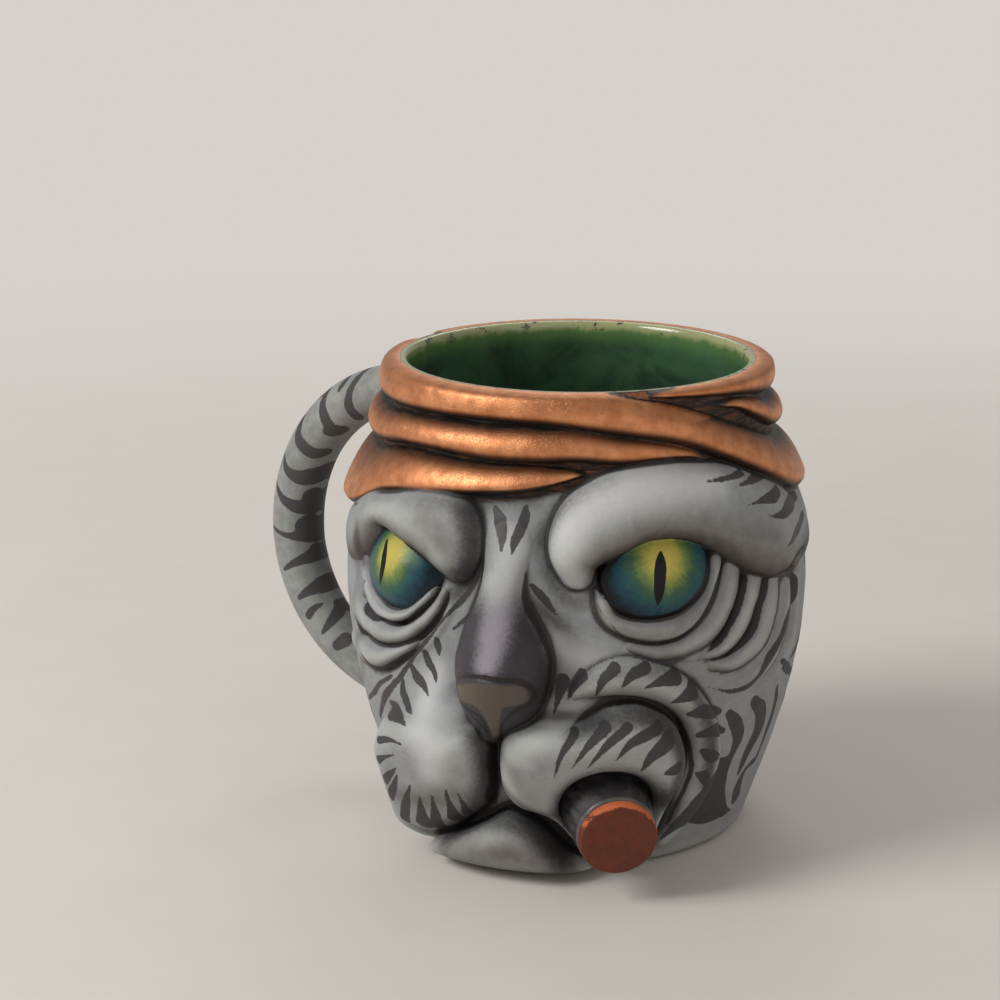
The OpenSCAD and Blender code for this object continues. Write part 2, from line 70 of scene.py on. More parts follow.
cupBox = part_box("cup_wall")
cup = {  # millimetres and degrees
    "height": cupBox[1].z / mm,
    "belly": cupBox[1].x / mm,
    "bellyHeight": 58.0,
    "foot": 38.5,
    "rim": 41.2,
    "footRound": 2.5,
    "lip": 1.5,
    "wall": 5.6,
    "floor": 7.0,
    "floorFillet": 9.0,
    "tailAngle": -107.0,  # from the face, + towards the cat's left
    "tailRoot": 11.0,  # how thick the tail is where it meets the wall
    "tailGap": 1.0,  # between the tail's root and the ends of the scarf
    "span": 118.0,  # degrees round the belly that look as long as the mug is high
}
perDegree = cup["height"] / cup["span"]
pixelMm = 1 / 4.45  # a pixel's width on the head


def wallRadius(z):
    # a quarter sine wave from the foot to the belly, half a cosine wave from there to the rim
    low = cup["foot"] + (cup["belly"] - cup["foot"]) * np.sin(np.pi / 2 * z / cup["bellyHeight"])
    fall = np.cos(np.pi * (z - cup["bellyHeight"]) / (cup["height"] - cup["bellyHeight"]))
    return np.where(z < cup["bellyHeight"], low, cup["rim"] + (cup["belly"] - cup["rim"]) * (1 + fall) / 2)


def insideRadius(z):
    # the wall thins evenly from the foot to the lip
    return wallRadius(z) - cup["wall"] + (cup["wall"] - 2 * cup["lip"]) * z / (cup["height"] - cup["lip"])


def edgeRound(z):
    # how far the rounded foot and lip fall back from the plain wall: two quarter circles
    foot = np.clip((cup["footRound"] - z) / cup["footRound"], 0, 1)
    lip = np.clip((z - cup["height"] + cup["lip"]) / cup["lip"], 0, 1)
    return cup["footRound"] * (1 - np.sqrt(1 - foot**2)) + cup["lip"] * (1 - np.sqrt(1 - lip**2))


# Between the photograph and the mug

def cameraFrame():
    # its place in millimetres, its right, forward and upward directions, and pixels per unit of slope
    turn, dip = np.radians(camera["heading"]), np.radians(camera["pitch"])
    right = np.array([np.cos(turn), np.sin(turn), 0])
    level = np.array([-np.sin(turn), np.cos(turn), 0])
    ahead = level * np.cos(dip) - np.array([0, 0, np.sin(dip)])
    above = level * np.sin(dip) + np.array([0, 0, np.cos(dip)])
    scale = camera["lens"] / camera["sensor"] * camera["pixels"]
    return np.array(camera["place"]) / mm, right, ahead, above, scale


def toPhoto(points):
    # perspective projection of millimetre points to the photograph's pixels, and their depth
    eye, right, ahead, above, scale = cameraFrame()
    away = points - eye
    depth, middle = away @ ahead, camera["pixels"] / 2
    return middle + scale * (away @ right) / depth, middle - scale * (away @ above) / depth, depth


def fromSight(pixels, lifts):
    # angle and height where each pixel's line of sight first meets the wall raised by its lift
    eye, right, ahead, above, scale = cameraFrame()
    slope = (np.array(pixels, float) - camera["pixels"] / 2) / scale
    rays = ahead + slope[:, :1] * right - slope[:, 1:] * above
    steps = np.arange(*camera["sight"])
    path = eye + rays[:, None] * steps[:, None]
    z = np.clip(path[..., 2], 0, cup["height"])
    gap = np.hypot(path[..., 0], path[..., 1]) - wallRadius(z) - np.reshape(lifts, (-1, 1))
    met = gap < 0
    first = np.where(met.any(1), met.argmax(1), gap.argmin(1))
    hit = path[np.arange(len(first)), first]
    return np.stack([np.degrees(np.arctan2(hit[:, 0], -hit[:, 1])), hit[:, 2]], -1)


# Meshes

def makePiece(name, points, faces, normals=None, **attributes):
    # points in millimetres; faces is a list of index arrays, one for each number of corners
    mesh = bpy.data.meshes.new(name)
    mesh.vertices.add(len(points))
    mesh.vertices.foreach_set("co", (points * mm).astype(np.float32).ravel())
    corners = np.concatenate([np.full(len(f), f.shape[1]) for f in faces])
    loops = np.concatenate([f.ravel() for f in faces]).astype(np.int32)
    mesh.loops.add(len(loops))
    mesh.loops.foreach_set("vertex_index", loops)
    mesh.polygons.add(len(corners))
    mesh.polygons.foreach_set("loop_start", (np.cumsum(corners) - corners).astype(np.int32))
    mesh.polygons.foreach_set("use_smooth", np.ones(len(corners), bool))
    mesh.update(calc_edges=True)
    mesh.validate()
    for key, values in attributes.items():
        carried = mesh.attributes.new(key, "FLOAT", "POINT")
        carried.data.foreach_set("value", values.astype(np.float32).ravel())
    if normals is not None:
        mesh.normals_split_custom_set_from_vertices(normals.tolist())
    piece = bpy.data.objects.new(name, mesh)
    bpy.context.scene.collection.objects.link(piece)
    return piece


def gridFaces(rows, columns):
    # quads between neighbouring rows of a grid, whose columns run round and meet
    r, c = np.meshgrid(np.arange(rows - 1), np.arange(columns), indexing="ij")
    d = (c + 1) % columns
    quads = [r * columns + c, r * columns + d, (r + 1) * columns + d, (r + 1) * columns + c]
    return np.stack(quads, -1).reshape(-1, 4)


def closedLoft(rings):
    # rings (rows, columns, 3) joined in order, with a fan from its own middle over each end ring
    rows, columns = rings.shape[:2]
    points = np.concatenate([rings.reshape(-1, 3), rings[:1].mean(1), rings[-1:].mean(1)])
    c = np.arange(columns)
    d = (c + 1) % columns
    first = np.stack([np.full(columns, rows * columns), d, c], -1)
    last = np.stack([np.full(columns, rows * columns + 1), c, d], -1)
    last[:, 1:] += (rows - 1) * columns
    return points, [gridFaces(rows, columns), np.concatenate([first, last])]


def surfaceNormals(points, wrap):
    # cross product of the slopes along the columns and up the rows
    around = np.roll(points, -1, 1) - np.roll(points, 1, 1)
    if not wrap:
        around[:, 0] = points[:, 1] - points[:, 0]
        around[:, -1] = points[:, -1] - points[:, -2]
    normal = np.cross(around, np.gradient(points, axis=0))
    return normal / np.maximum(np.linalg.norm(normal, axis=-1, keepdims=True), 1e-9)


def settle(piece, material, node):
    # gives a piece its material and its body, and hides the part of the node that it stands for
    piece.data.materials.append(material)
    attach(piece, "root")
    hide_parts(node)


# Smooth lines and fields on the unrolled wall

def smoothLine(rows, scale, step):
    # cubic Hermite curve through the rows, at even steps; scale turns columns 0 and 1 into millimetres
    rows = np.array(rows, float)
    at = np.concatenate([[0], np.cumsum(np.hypot(*(np.diff(rows[:, :2], axis=0) * scale).T))])
    slopes = np.gradient(rows, at, axis=0)
    places = np.linspace(0, at[-1], max(int(at[-1] / step) + 2, 3))
    i = np.clip(np.searchsorted(at, places, side="right") - 1, 0, len(at) - 2)
    reach = (at[i + 1] - at[i])[:, None]
    t = (places - at[i])[:, None] / reach
    return (
        rows[i] * (2 * t**3 - 3 * t**2 + 1)
        + slopes[i] * reach * (t**3 - 2 * t**2 + t)
        + rows[i + 1] * (3 * t**2 - 2 * t**3)
        + slopes[i + 1] * reach * (t**3 - t**2)
    )


def closedCurve(outline, steps=6):
    # Catmull-Rom curve round a closed outline
    b = np.array(outline, float)
    a, c, d = np.roll(b, 1, 0), np.roll(b, -1, 0), np.roll(b, -2, 0)
    t = (np.arange(steps) / steps)[:, None, None]
    curve = b + (c - a) * t / 2 + (2 * a - 5 * b + 4 * c - d) * t**2 / 2 + (3 * b - a - 3 * c + d) * t**3 / 2
    return curve.transpose(1, 0, 2).reshape(-1, 2)


def blur(field, size):
    # three box averages each way, close to a Gaussian of that size in millimetres
    half = max(int(round(size / headGrid["step"])), 1)
    width = 2 * half + 1
    for axis in (0, 1):
        for _ in range(3):
            pad = [(half + 1, half) if i == axis else (0, 0) for i in (0, 1)]
            total = np.cumsum(np.pad(field, pad, mode="edge"), axis=axis, dtype=float)
            high = np.take(total, np.arange(width, total.shape[axis]), axis)
            low = np.take(total, np.arange(0, total.shape[axis] - width), axis)
            field = (high - low) / width
    return field


def softNoise(shape, cell, seed):
    # smooth random field between -1 and 1: a coarse random grid, stretched and eased
    draw = np.random.default_rng(seed)
    rows, columns = int(shape[0] / cell) + 3, int(shape[1] / cell) + 3
    coarse = draw.uniform(-1, 1, (rows, columns))
    r, c = np.arange(shape[0]) / cell, np.arange(shape[1]) / cell
    i, j = r.astype(int), c.astype(int)
    u, v = r - i, c - j
    u, v = (u * u * (3 - 2 * u))[:, None], (v * v * (3 - 2 * v))[None]
    low = coarse[np.ix_(i, j)] * (1 - v) + coarse[np.ix_(i, j + 1)] * v
    high = coarse[np.ix_(i + 1, j)] * (1 - v) + coarse[np.ix_(i + 1, j + 1)] * v
    return low * (1 - u) + high * u


def smoothMax(a, b, blend):
    # the higher of two fields, with the crease between them filled over the blend's width
    near = np.clip(blend - np.abs(a - b), 0, None) / blend
    return np.maximum(a, b) + near * near * blend / 4


def dome(u, power, soft=0.012):
    # 1 in the middle and 0 at the rim; a smaller power gives a flatter top and steeper sides
    rise = (np.clip(1 - u * u, 0, None) + soft) ** power - soft**power
    return rise / ((1 + soft) ** power - soft**power)


def ease(x):
    # the S curve 3x^2 - 2x^3 from 0 to 1, flat at both ends
    x = np.clip(x, 0, 1)
    return x * x * (3 - 2 * x)


def fade(values, start, full):
    # eases from 0 where the values are at start to 1 where they are at full
    return ease((values - start) / (full - start))


def acrossStroke(marks):
    # half a stroke's width in pixels, square to the way it runs
    way = np.gradient(marks[:, :2], axis=0)
    way /= np.linalg.norm(way, axis=1, keepdims=True)
    return np.stack([way[:, 1], -way[:, 0]], -1) * marks[:, 2:3] / 2


modelling = {  # millimetres and shares
    "met": 0.7,  # the share of a roll's height at which a line of sight meets it
    "narrowest": 0.8,  # the least share of its plain width that a roll may get there
    "widest": 1.7,
    "rollStep": 0.5,  # along a roll's line
    "rollPower": 0.42,
    "rollPast": 6.0,  # how far beyond its edge a roll is worked out
    "padPower": 0.5,
    "padSoft": 0.8,  # how much a pad's outline is softened
    "padNear": -8.0,
    "padFar": -12.0,
    "padPast": -9.0,
    "outlinePast": 38.0,  # how far from its middle an outline is worked out
    "eyeFall": 5.0,  # how steeply an eyeball ends outside its outline
    "eyePast": -3.0,
}


def placeRoll(clay):
    # rows of pixel x and y, width in pixels and crown share, met at that share of the roll's height,
    # become rows of angle and shares of the mug's height, half width and crown
    marks = np.array(clay["pixels"], float)
    lifts = marks[:, 3] * clay["crown"] * modelling["met"]
    spots, across = marks[:, :2], acrossStroke(marks)
    middle = fromSight(spots, lifts)
    gap = fromSight(spots + across, lifts) - fromSight(spots - across, lifts)
    plain = marks[:, 2] * pixelMm / 2
    half = np.hypot(gap[:, 0] * perDegree, gap[:, 1]) / 2
    half = np.clip(half, plain * modelling["narrowest"], plain * modelling["widest"])
    placed = np.column_stack([middle[:, 0], middle[:, 1] / cup["height"], half / cup["height"], marks[:, 3]])
    clay["rows"] = [*placed.tolist(), *clay.get("beyond", [])]


# The head's grid: rows up the wall and columns round it, starting and ending behind the tail

headGrid = {
    "step": 0.4,  # millimetres between rows
    "turn": 0.4,  # degrees between columns
    "dip": 0.5,  # how far a piece sinks below its neighbour just past their joint
    "behind": 0.05,  # how far a piece's back lies behind the plain wall
    "thin": 0.1,  # a piece's least thickness
}
angles = np.linspace(cup["tailAngle"], cup["tailAngle"] + 360, int(360 / headGrid["turn"]) + 1)
heights = np.linspace(0, cup["height"], int(cup["height"] / headGrid["step"]) + 1)
gridA, gridZ = np.meshgrid(angles, heights)
wallR = wallRadius(gridZ)
farOff = -50.0  # a shape's height where it is nowhere near
unpainted = -5.0  # the same for paint


def nearby(angle, z, acrossMm, perAngle):
    # slices of the grid within a distance of a place on the wall
    rows = slice(*np.searchsorted(heights, (z - acrossMm, z + acrossMm)))
    columns = slice(*np.searchsorted(angles, (angle - acrossMm / perAngle, angle + acrossMm / perAngle)))
    return rows, columns


def rollField(clay):
    # height above the wall of a roll of clay: the highest of the domes that slide along its line.
    # The dome's crown leans across the line; beyond its edge the field falls away one for one.
    # The paint's share of the crown fades where the roll is thinner than "fade" millimetres.
    if "pixels" in clay:
        placeRoll(clay)
    lean = clay.get("lean", 0)
    rows = [[*row, lean][:5] for row in clay["rows"]]
    line = smoothLine(rows, (perDegree, cup["height"]), modelling["rollStep"])
    x, z = line[:, 0] * perDegree, line[:, 1] * cup["height"]
    half, top = line[:, 2] * cup["height"] + clay.get("grow", 0), line[:, 3] * clay["crown"]
    dx, dz = np.gradient(x), np.gradient(z)
    size = np.hypot(dx, dz)
    dx, dz = dx / size, dz / size
    up = np.sign(x[-1] - x[0])
    field, flank, crown = np.full(gridA.shape, farOff), np.zeros(gridA.shape), np.zeros(gridA.shape)
    shown = ease(half / clay.get("fade", 0.01))
    for i in range(len(x)):
        here = nearby(line[i, 0], z[i], half[i] + modelling["rollPast"], perDegree)
        px, pz = gridA[here] * perDegree - x[i], gridZ[here] - z[i]
        across = (pz * dx[i] - px * dz[i]) * up
        crest = line[i, 4] * half[i]
        side = (across - crest) / np.where(across < crest, half[i] + crest, half[i] - crest)
        u = np.hypot((px * dx[i] + pz * dz[i]) / half[i], side)
        rise = dome(u, clay.get("power", modelling["rollPower"]))
        value = np.where(u < 1, top[i] * rise, (1 - u) * half[i])
        better = value > field[here]
        field[here][better] = value[better]
        flank[here][better] = side[better]
        crown[here][better] = rise[better] * shown[i]
    return field, flank, crown


def insideOutline(outline):
    # signed distance in millimetres to a closed outline of (angle, height share), + inside. It is the
    # distance to the nearest of the outline's short sides; a place is inside where a level line from it
    # crosses an odd number.
    p = closedCurve(outline) * (perDegree, cup["height"])
    q = np.roll(p, -1, 0)
    here = nearby(*(p.mean(0) / (perDegree, 1)), modelling["outlinePast"], perDegree)
    x, z = gridA[here] * perDegree, gridZ[here]
    best, inside = np.full(x.shape, 1e9), np.zeros(x.shape, bool)
    for (ax, az), (bx, bz) in zip(p, q):
        px, pz = x - ax, z - az
        t = np.clip((px * (bx - ax) + pz * (bz - az)) / ((bx - ax) ** 2 + (bz - az) ** 2), 0, 1)
        best = np.minimum(best, np.hypot(px - t * (bx - ax), pz - t * (bz - az)))
        crosses = (az > z) != (bz > z)
        inside ^= crosses & (px < (bx - ax) * pz / np.where(bz == az, 1e-9, bz - az))
    field = np.full(gridA.shape, farOff)
    field[here] = np.where(inside, best, -best)
    return field


def padField(clay):
    # a pillow over an outline: it rises from its edge in a round shoulder as wide as "round" millimetres.
    # A funnel keeps it below a bowl that opens in a quarter round from the cigar's root.
    if "pixels" in clay:
        placed = fromSight(clay["pixels"], clay["sight"])
        placed[:, 0] = np.maximum(placed[:, 0], clay.get("from", -180))
        clay["outline"] = placed / (1, cup["height"])
    inside = insideOutline(clay["outline"])
    softened = blur(np.maximum(inside, modelling["padFar"]), modelling["padSoft"])
    inside = np.where(inside > modelling["padNear"], softened, inside)
    u = 1 - np.clip(inside / clay["round"], 0, 1)
    rise = dome(u, clay.get("power", modelling["padPower"]))
    field = np.where(inside > 0, clay["crown"] * rise, inside)
    if "funnel" in clay:
        sunk = clay["funnel"]
        away = np.hypot((gridA - sunk["angle"]) * np.radians(wallR), gridZ - sunk["height"]) - sunk["radius"]
        limit = sunk["floor"] + sunk["rise"] * np.sqrt(1 - (1 - np.clip(away / sunk["reach"], 0, 1)) ** 2)
        field = np.where(inside > 0, -smoothMax(-field, -limit, sunk["blend"]), field)
    return np.where(field < modelling["padPast"], farOff, field), np.zeros(gridA.shape), rise


def ballField(clay):
    # an eyeball: the cap of a sphere, kept to its outline by a steep fall outside it
    clay["outline"] = fromSight(clay["pixels"], clay["sight"]) / (1, cup["height"])
    middle = clay["outline"].mean(0)
    px, pz = (gridA - middle[0]) * perDegree * clay["wide"], gridZ - middle[1] * cup["height"]
    cap = clay["crown"] - clay["ball"] + np.sqrt(np.clip(clay["ball"] ** 2 - px**2 - pz**2, 0, None))
    rim = insideOutline(clay["outline"])
    field = cap - modelling["eyeFall"] * np.clip(-rim, 0, None)
    return np.where(rim < modelling["eyePast"], farOff, field), np.zeros(gridA.shape), np.ones(gridA.shape)


# The pieces of clay. A roll's rows hold its angle and shares of the mug's height, half width and crown, and
# some a lean of their own. "crown" is a piece's height in millimetres, "lean" moves its crest from the
# middle towards an edge, "power" rounds it, "blend" is how far its joint is smoothed, "grow" widens it,
# "fade" thins its paint, and "above" and "below" are how strongly its two flanks darken with painted shade.

tailRoom = np.degrees(np.arcsin((cup["tailRoot"] / 2 + cup["tailGap"]) / cup["rim"]))
scarfStart, scarfFinish = cup["tailAngle"] + tailRoom, cup["tailAngle"] + 360 - tailRoom

scarfTop = {"crown": 4.2, "below": 1.1, "lean": -0.25, "blend": 0.5, "power": 0.5, "rows": [
    [scarfStart, 0.968, 0.040, 0.68], [-72, 0.968, 0.040, 0.70], [-46, 0.969, 0.039, 0.74],
    [-26, 0.972, 0.036, 0.76], [-8, 0.974, 0.035, 0.76], [10, 0.972, 0.037, 0.8], [21, 0.964, 0.040, 0.85],
    [31, 0.951, 0.038, 0.92], [40, 0.938, 0.038, 0.95], [49, 0.918, 0.038, 1], [59, 0.889, 0.041, 1, -0.3],
    [72, 0.850, 0.046, 1, -0.4], [86, 0.808, 0.053, 1, -0.5], [108, 0.790, 0.059, 1, -0.5],
    [150, 0.787, 0.061, 1, -0.5], [200, 0.784, 0.062, 1, -0.5], [scarfFinish, 0.780, 0.061, 1, -0.5],
]}
scarfMiddle = {"crown": 4.2, "below": 1.15, "fade": 3.8, "lean": -0.15, "blend": 0.5, "power": 0.5, "rows": [
    [scarfStart, 0.890, 0.035, 0.9], [-76, 0.886, 0.035, 0.9], [-56, 0.882, 0.034, 0.9],
    [-39, 0.896, 0.032, 0.95], [-24, 0.900, 0.032, 0.95], [-11, 0.899, 0.035, 0.95], [4, 0.901, 0.035, 0.9],
    [16, 0.901, 0.032, 0.8], [26, 0.891, 0.028, 0.7], [36, 0.887, 0.022, 0.6], [46, 0.877, 0.013, 0.45],
    [54, 0.858, 0.006, 0.25],
]}
scarfLow = {"crown": 4.2, "above": 0.9, "below": 1.6, "fade": 3.0, "blend": 0.5, "power": 0.5, "rows": [
    [scarfStart, 0.776, 0.064, 1, -0.75], [-76, 0.772, 0.064, 1, -0.75], [-59, 0.773, 0.060, 1, -0.7],
    [-43, 0.808, 0.045, 1, -0.5],
    [-28, 0.820, 0.038, 0.95, -0.35], [-12, 0.827, 0.030, 0.85, -0.3], [2, 0.836, 0.024, 0.7, -0.3],
    [11, 0.844, 0.013, 0.5, -0.2], [16, 0.848, 0.005, 0.25, 0],
]}
scarfBackTop = {"crown": 4.2, "fade": 2.4, "lean": 0, "blend": 0.5, "power": 0.5, "rows": [
    [36, 0.993, 0.006, 0.2], [46, 0.992, 0.010, 0.3], [57, 0.990, 0.015, 0.4], [70, 0.986, 0.020, 0.5],
    [86, 0.978, 0.030, 0.62], [108, 0.974, 0.036, 0.65], [150, 0.973, 0.037, 0.65],
    [scarfFinish, 0.972, 0.038, 0.65],
]}
scarfBackMiddle = {"crown": 4.2, "fade": 2.8, "lean": -0.1, "blend": 0.5, "power": 0.5, "rows": [
    [60, 0.956, 0.005, 0.2], [68, 0.950, 0.011, 0.4], [77, 0.930, 0.019, 0.6], [88, 0.905, 0.026, 0.7],
    [108, 0.897, 0.033, 0.8], [150, 0.895, 0.035, 0.85], [scarfFinish, 0.893, 0.035, 0.85],
]}

# Rows and outlines called pixels are points of the photograph, read from it: x, y, width and crown share.
# "sight" is the height in millimetres at which a line of sight meets an outline.

browLeft = {"crown": 7.6, "lean": -0.05, "power": 0.45, "pixels": [
    (577, 573, 40, 0.55), (575, 552, 60, 0.9), (586, 536, 77, 1), (610, 522, 83, 1), (637, 510, 81, 0.97),
    (672, 504, 81, 0.93), (707, 506, 84, 0.93), (738, 513, 89, 0.98), (765, 525, 92, 0.92),
    (786, 529, 86, 0.6),
], "beyond": [
    [83, 0.680, 0.078, 0.38], [91, 0.684, 0.076, 0.24], [99, 0.686, 0.068, 0.17], [108, 0.686, 0.05, 0.1],
    [116, 0.686, 0.02, 0.04],
]}
browRight = {"crown": 7.0, "lean": -0.05, "power": 0.45, "pixels": [
    (456, 563, 38, 0.55), (449, 549, 58, 0.9), (438, 532, 72, 1), (421, 522, 70, 1), (404, 516, 60, 1),
    (390, 511, 46, 0.9), (378, 509, 39, 0.8), (367, 513, 42, 0.6), (357, 523, 44, 0.35),
], "beyond": [[-66, 0.66, 0.03, 0.2], [-74, 0.655, 0.02, 0.08]]}
eyeLeft = {"crown": 4.8, "ball": 13.5, "wide": 0.6, "blend": 0.1, "sight": 2.5, "pixels": [
    (600, 578), (604, 594), (612, 609), (626, 618), (642, 622), (661, 621), (679, 614), (693, 602),
    (705, 584),
    (709, 566), (710, 550), (700, 534), (676, 529), (650, 532), (634, 539), (618, 550), (606, 563),
]}
eyeRight = {"crown": 4.8, "ball": 12.5, "wide": 0.8, "blend": 0.1, "sight": 2.5, "pixels": [
    (368, 540), (367, 552), (369, 570), (373, 586), (381, 598), (391, 607), (401, 611), (411, 609),
    (423, 601),
    (433, 590), (440, 578), (432, 565), (420, 552), (408, 540), (396, 526), (384, 521), (373, 527),
]}
lidLeft = {"crown": 3.4, "grow": 0.2, "blend": 0.4, "pixels": [
    (597, 592, 6, 0.3), (602, 604, 15, 0.8), (609, 618, 17, 1), (624, 628, 19, 1), (642, 632, 21, 1),
    (661, 632, 23, 1), (681, 626, 24, 1), (698, 612, 21, 1), (709, 594, 16, 0.9), (715, 575, 13, 0.8),
    (716, 562, 12, 0.7), (716, 549, 9, 0.4),
]}
lidRight = {"crown": 3.4, "grow": 0.2, "blend": 0.4, "pixels": [
    (366, 554, 5, 0.3), (366, 572, 8, 0.6), (370, 590, 12, 0.9), (376, 603, 14, 1), (385, 613, 14, 1),
    (396, 616, 13, 1), (407, 614, 12, 0.9), (419, 606, 10, 0.8), (429, 596, 9, 0.6), (436, 586, 6, 0.3),
]}
foldLeftUpper = {"crown": 2.5, "grow": 0.8, "blend": 0.5, "pixels": [
    (632, 646, 5, 0.3), (661, 651, 12, 0.7), (679, 648, 16, 0.9), (693, 642, 18, 1), (706, 633, 19, 1),
    (716, 621, 19, 1), (724, 606, 18, 1), (729, 591, 17, 0.95), (732, 576, 15, 0.85), (733, 564, 13, 0.8),
    (733, 552, 9, 0.4),
]}
foldLeftMiddle = {"crown": 2.5, "grow": 0.8, "blend": 0.5, "pixels": [
    (708, 655, 5, 0.3), (722, 648, 10, 0.7), (734, 636, 13, 0.9), (742, 621, 15, 1), (748, 605, 15, 1),
    (752, 591, 15, 0.9), (755, 578, 13, 0.8), (757, 565, 9, 0.4),
]}
foldLeftLower = {"crown": 2.5, "grow": 0.8, "blend": 0.9, "pixels": [
    (714, 665, 7, 0.3), (734, 662, 13, 0.7), (748, 652, 17, 0.9), (760, 640, 18, 1), (767, 622, 18, 1),
    (771, 603, 17, 0.9), (773, 588, 15, 0.8), (774, 577, 12, 0.7), (774, 565, 8, 0.4),
]}
foldRightUpper = {"crown": 2.5, "grow": 0.6, "blend": 0.5, "pixels": [
    (357, 586, 9, 0.4), (357, 604, 13, 0.7), (364, 619, 15, 0.9), (374, 629, 16, 1), (385, 634, 16, 1),
    (396, 635, 15, 1), (407, 632, 14, 1), (417, 625, 13, 0.9), (428, 616, 12, 0.8), (437, 605, 10, 0.6),
    (443, 594, 7, 0.3),
]}
foldRightLower = {"crown": 2.5, "grow": 0.6, "blend": 0.8, "pixels": [
    (354, 640, 11, 0.5), (362, 651, 16, 0.8), (373, 657, 18, 1), (384, 657, 18, 1), (394, 653, 15, 0.9),
    (405, 648, 12, 0.7), (414, 641, 8, 0.4),
]}
noseBridge = {"crown": 14, "above": 0, "below": 0, "power": 0.42, "grow": 0.6, "pixels": [
    (508, 545, 42, 0.12), (502, 572, 38, 0.32), (496, 600, 42, 0.55), (492, 625, 58, 0.76),
    (491, 650, 80, 0.93),
    (492, 668, 93, 1),
]}
noseTip = {"crown": 14, "blend": 0.6, "power": 0.42, "grow": 0.6, "pixels": [
    (492, 673, 96, 1), (492, 685, 95, 0.88), (491, 698, 87, 0.74), (490, 711, 61, 0.6), (490, 724, 32, 0.45),
    (490, 736, 14, 0.33),
]}
cigar = {  # millimetres and degrees
    "angle": 22.5,
    "height": 18.0,
    "radius": 9.6,
    "endRadius": 8.4,
    "length": 16.2,
    "endThick": 2.4,
    "turn": 3.0,
    "tilt": 9.0,
    "root": -2.5,  # where the barrel starts, before the wall's face
    "edge": 0.9,  # the round of the barrel's end
    "endEdge": 0.55,
    "columns": 96,
    "endColumns": 120,
}
muzzleLeft = {"crown": 10.5, "round": 10, "sight": 4, "pixels": [
    (497, 745), (496, 767), (499, 786), (506, 799), (520, 811), (540, 818), (556, 826), (575, 846),
    (600, 860),
    (632, 856), (655, 836), (664, 816), (675, 797), (683, 782), (688, 768), (689, 754), (686, 739),
    (679, 725),
    (666, 713), (652, 706), (637, 702), (617, 703), (600, 707), (582, 711), (560, 712), (540, 712),
    (520, 716),
    (505, 726),
], "funnel": {"angle": cigar["angle"], "height": cigar["height"], "radius": 9.4, "floor": 2.0, "rise": 9.0,
              "reach": 8.0, "blend": 1.5}}
muzzleRight = {"crown": 10.5, "round": 12, "sight": 3, "from": -44, "pixels": [
    (462, 715), (478, 722), (487, 736), (491, 750), (492, 775), (491, 797), (481, 809), (471, 817),
    (457, 828),
    (440, 839), (429, 838), (415, 828), (398, 812), (388, 797), (380, 780), (376, 762), (372, 745),
    (375, 725),
    (388, 706), (410, 696), (438, 700),
]}
cheekLeft = {"crown": 5, "power": 0.5, "pixels": [
    (576, 692, 14, 0.35), (594, 685, 27, 0.8), (620, 679, 38, 1), (650, 682, 38, 1),
    (679, 694, 37, 1), (699, 714, 36, 1), (707, 741, 36, 1), (704, 768, 36, 1), (694, 794, 34, 0.9),
    (680, 817, 28, 0.75), (666, 836, 18, 0.45),
]}
chin = {"crown": 11, "round": 5.6, "power": 0.38, "blend": 0.6, "outline": [
    (9, 0.094), (6, 0.118), (2, 0.142), (-2.5, 0.151), (-6.5, 0.137), (-11, 0.113), (-18, 0.084),
    (-23.5, 0.070), (-27, 0.062), (-29, 0.036), (-27.5, 0.009), (-21, 0.004), (-8, 0.004), (4, 0.005),
    (14, 0.008),
    (22, 0.014), (20, 0.032), (12.5, 0.062),
]}

clays = {
    "scarf_top_wrap": scarfTop, "scarf_middle_roll": scarfMiddle, "scarf_low_roll": scarfLow,
    "scarf_back_top_roll": scarfBackTop, "scarf_back_middle_roll": scarfBackMiddle,
    "brow_left": browLeft, "brow_right": browRight, "eye_left": eyeLeft, "eye_right": eyeRight,
    "lid_left": lidLeft, "lid_right": lidRight,
    "fold_left_upper": foldLeftUpper, "fold_left_middle": foldLeftMiddle, "fold_left_lower": foldLeftLower,
    "fold_right_upper": foldRightUpper, "fold_right_lower": foldRightLower,
    "nose_bridge": noseBridge, "nose_tip": noseTip,
    "muzzle_left": muzzleLeft, "muzzle_right": muzzleRight, "cheek_left": cheekLeft, "chin": chin,
}

# Soft joints: the right pad runs up into the cheek, and the left one into the face beside the nose
softRight = fade(gridZ, 31, 40) * fade(gridA, -8, -14)
softLeft = fade(gridZ, 36, 42) * fade(gridA, 24, 16)
muzzleRight["power"] = 0.5 + 0.8 * np.maximum(softRight, 0.6 * fade(gridA, -34, -42))
muzzleLeft["power"] = 0.5 + 0.8 * softLeft
muzzleRight["blend"] = 0.9 + 7 * fade(gridZ, 30, 39) * fade(gridA, -8, -14) + 4 * fade(gridA, -38, -46)
muzzleLeft["blend"] = 1.5 + 5 * fade(gridZ, 36, 42) * fade(gridA, 22, 14)
cheekLeft["blend"] = 1.4 + 5 * fade(gridZ, 36, 41) * fade(gridA, 46, 32)
noseBridge["blend"] = 2 + 3 * fade(gridZ, 58, 68)
browLeft["blend"] = 1.2 + 3 * fade(gridA, 78, 93)
browRight["blend"] = 1.2 + 2 * fade(gridA, -50, -60)

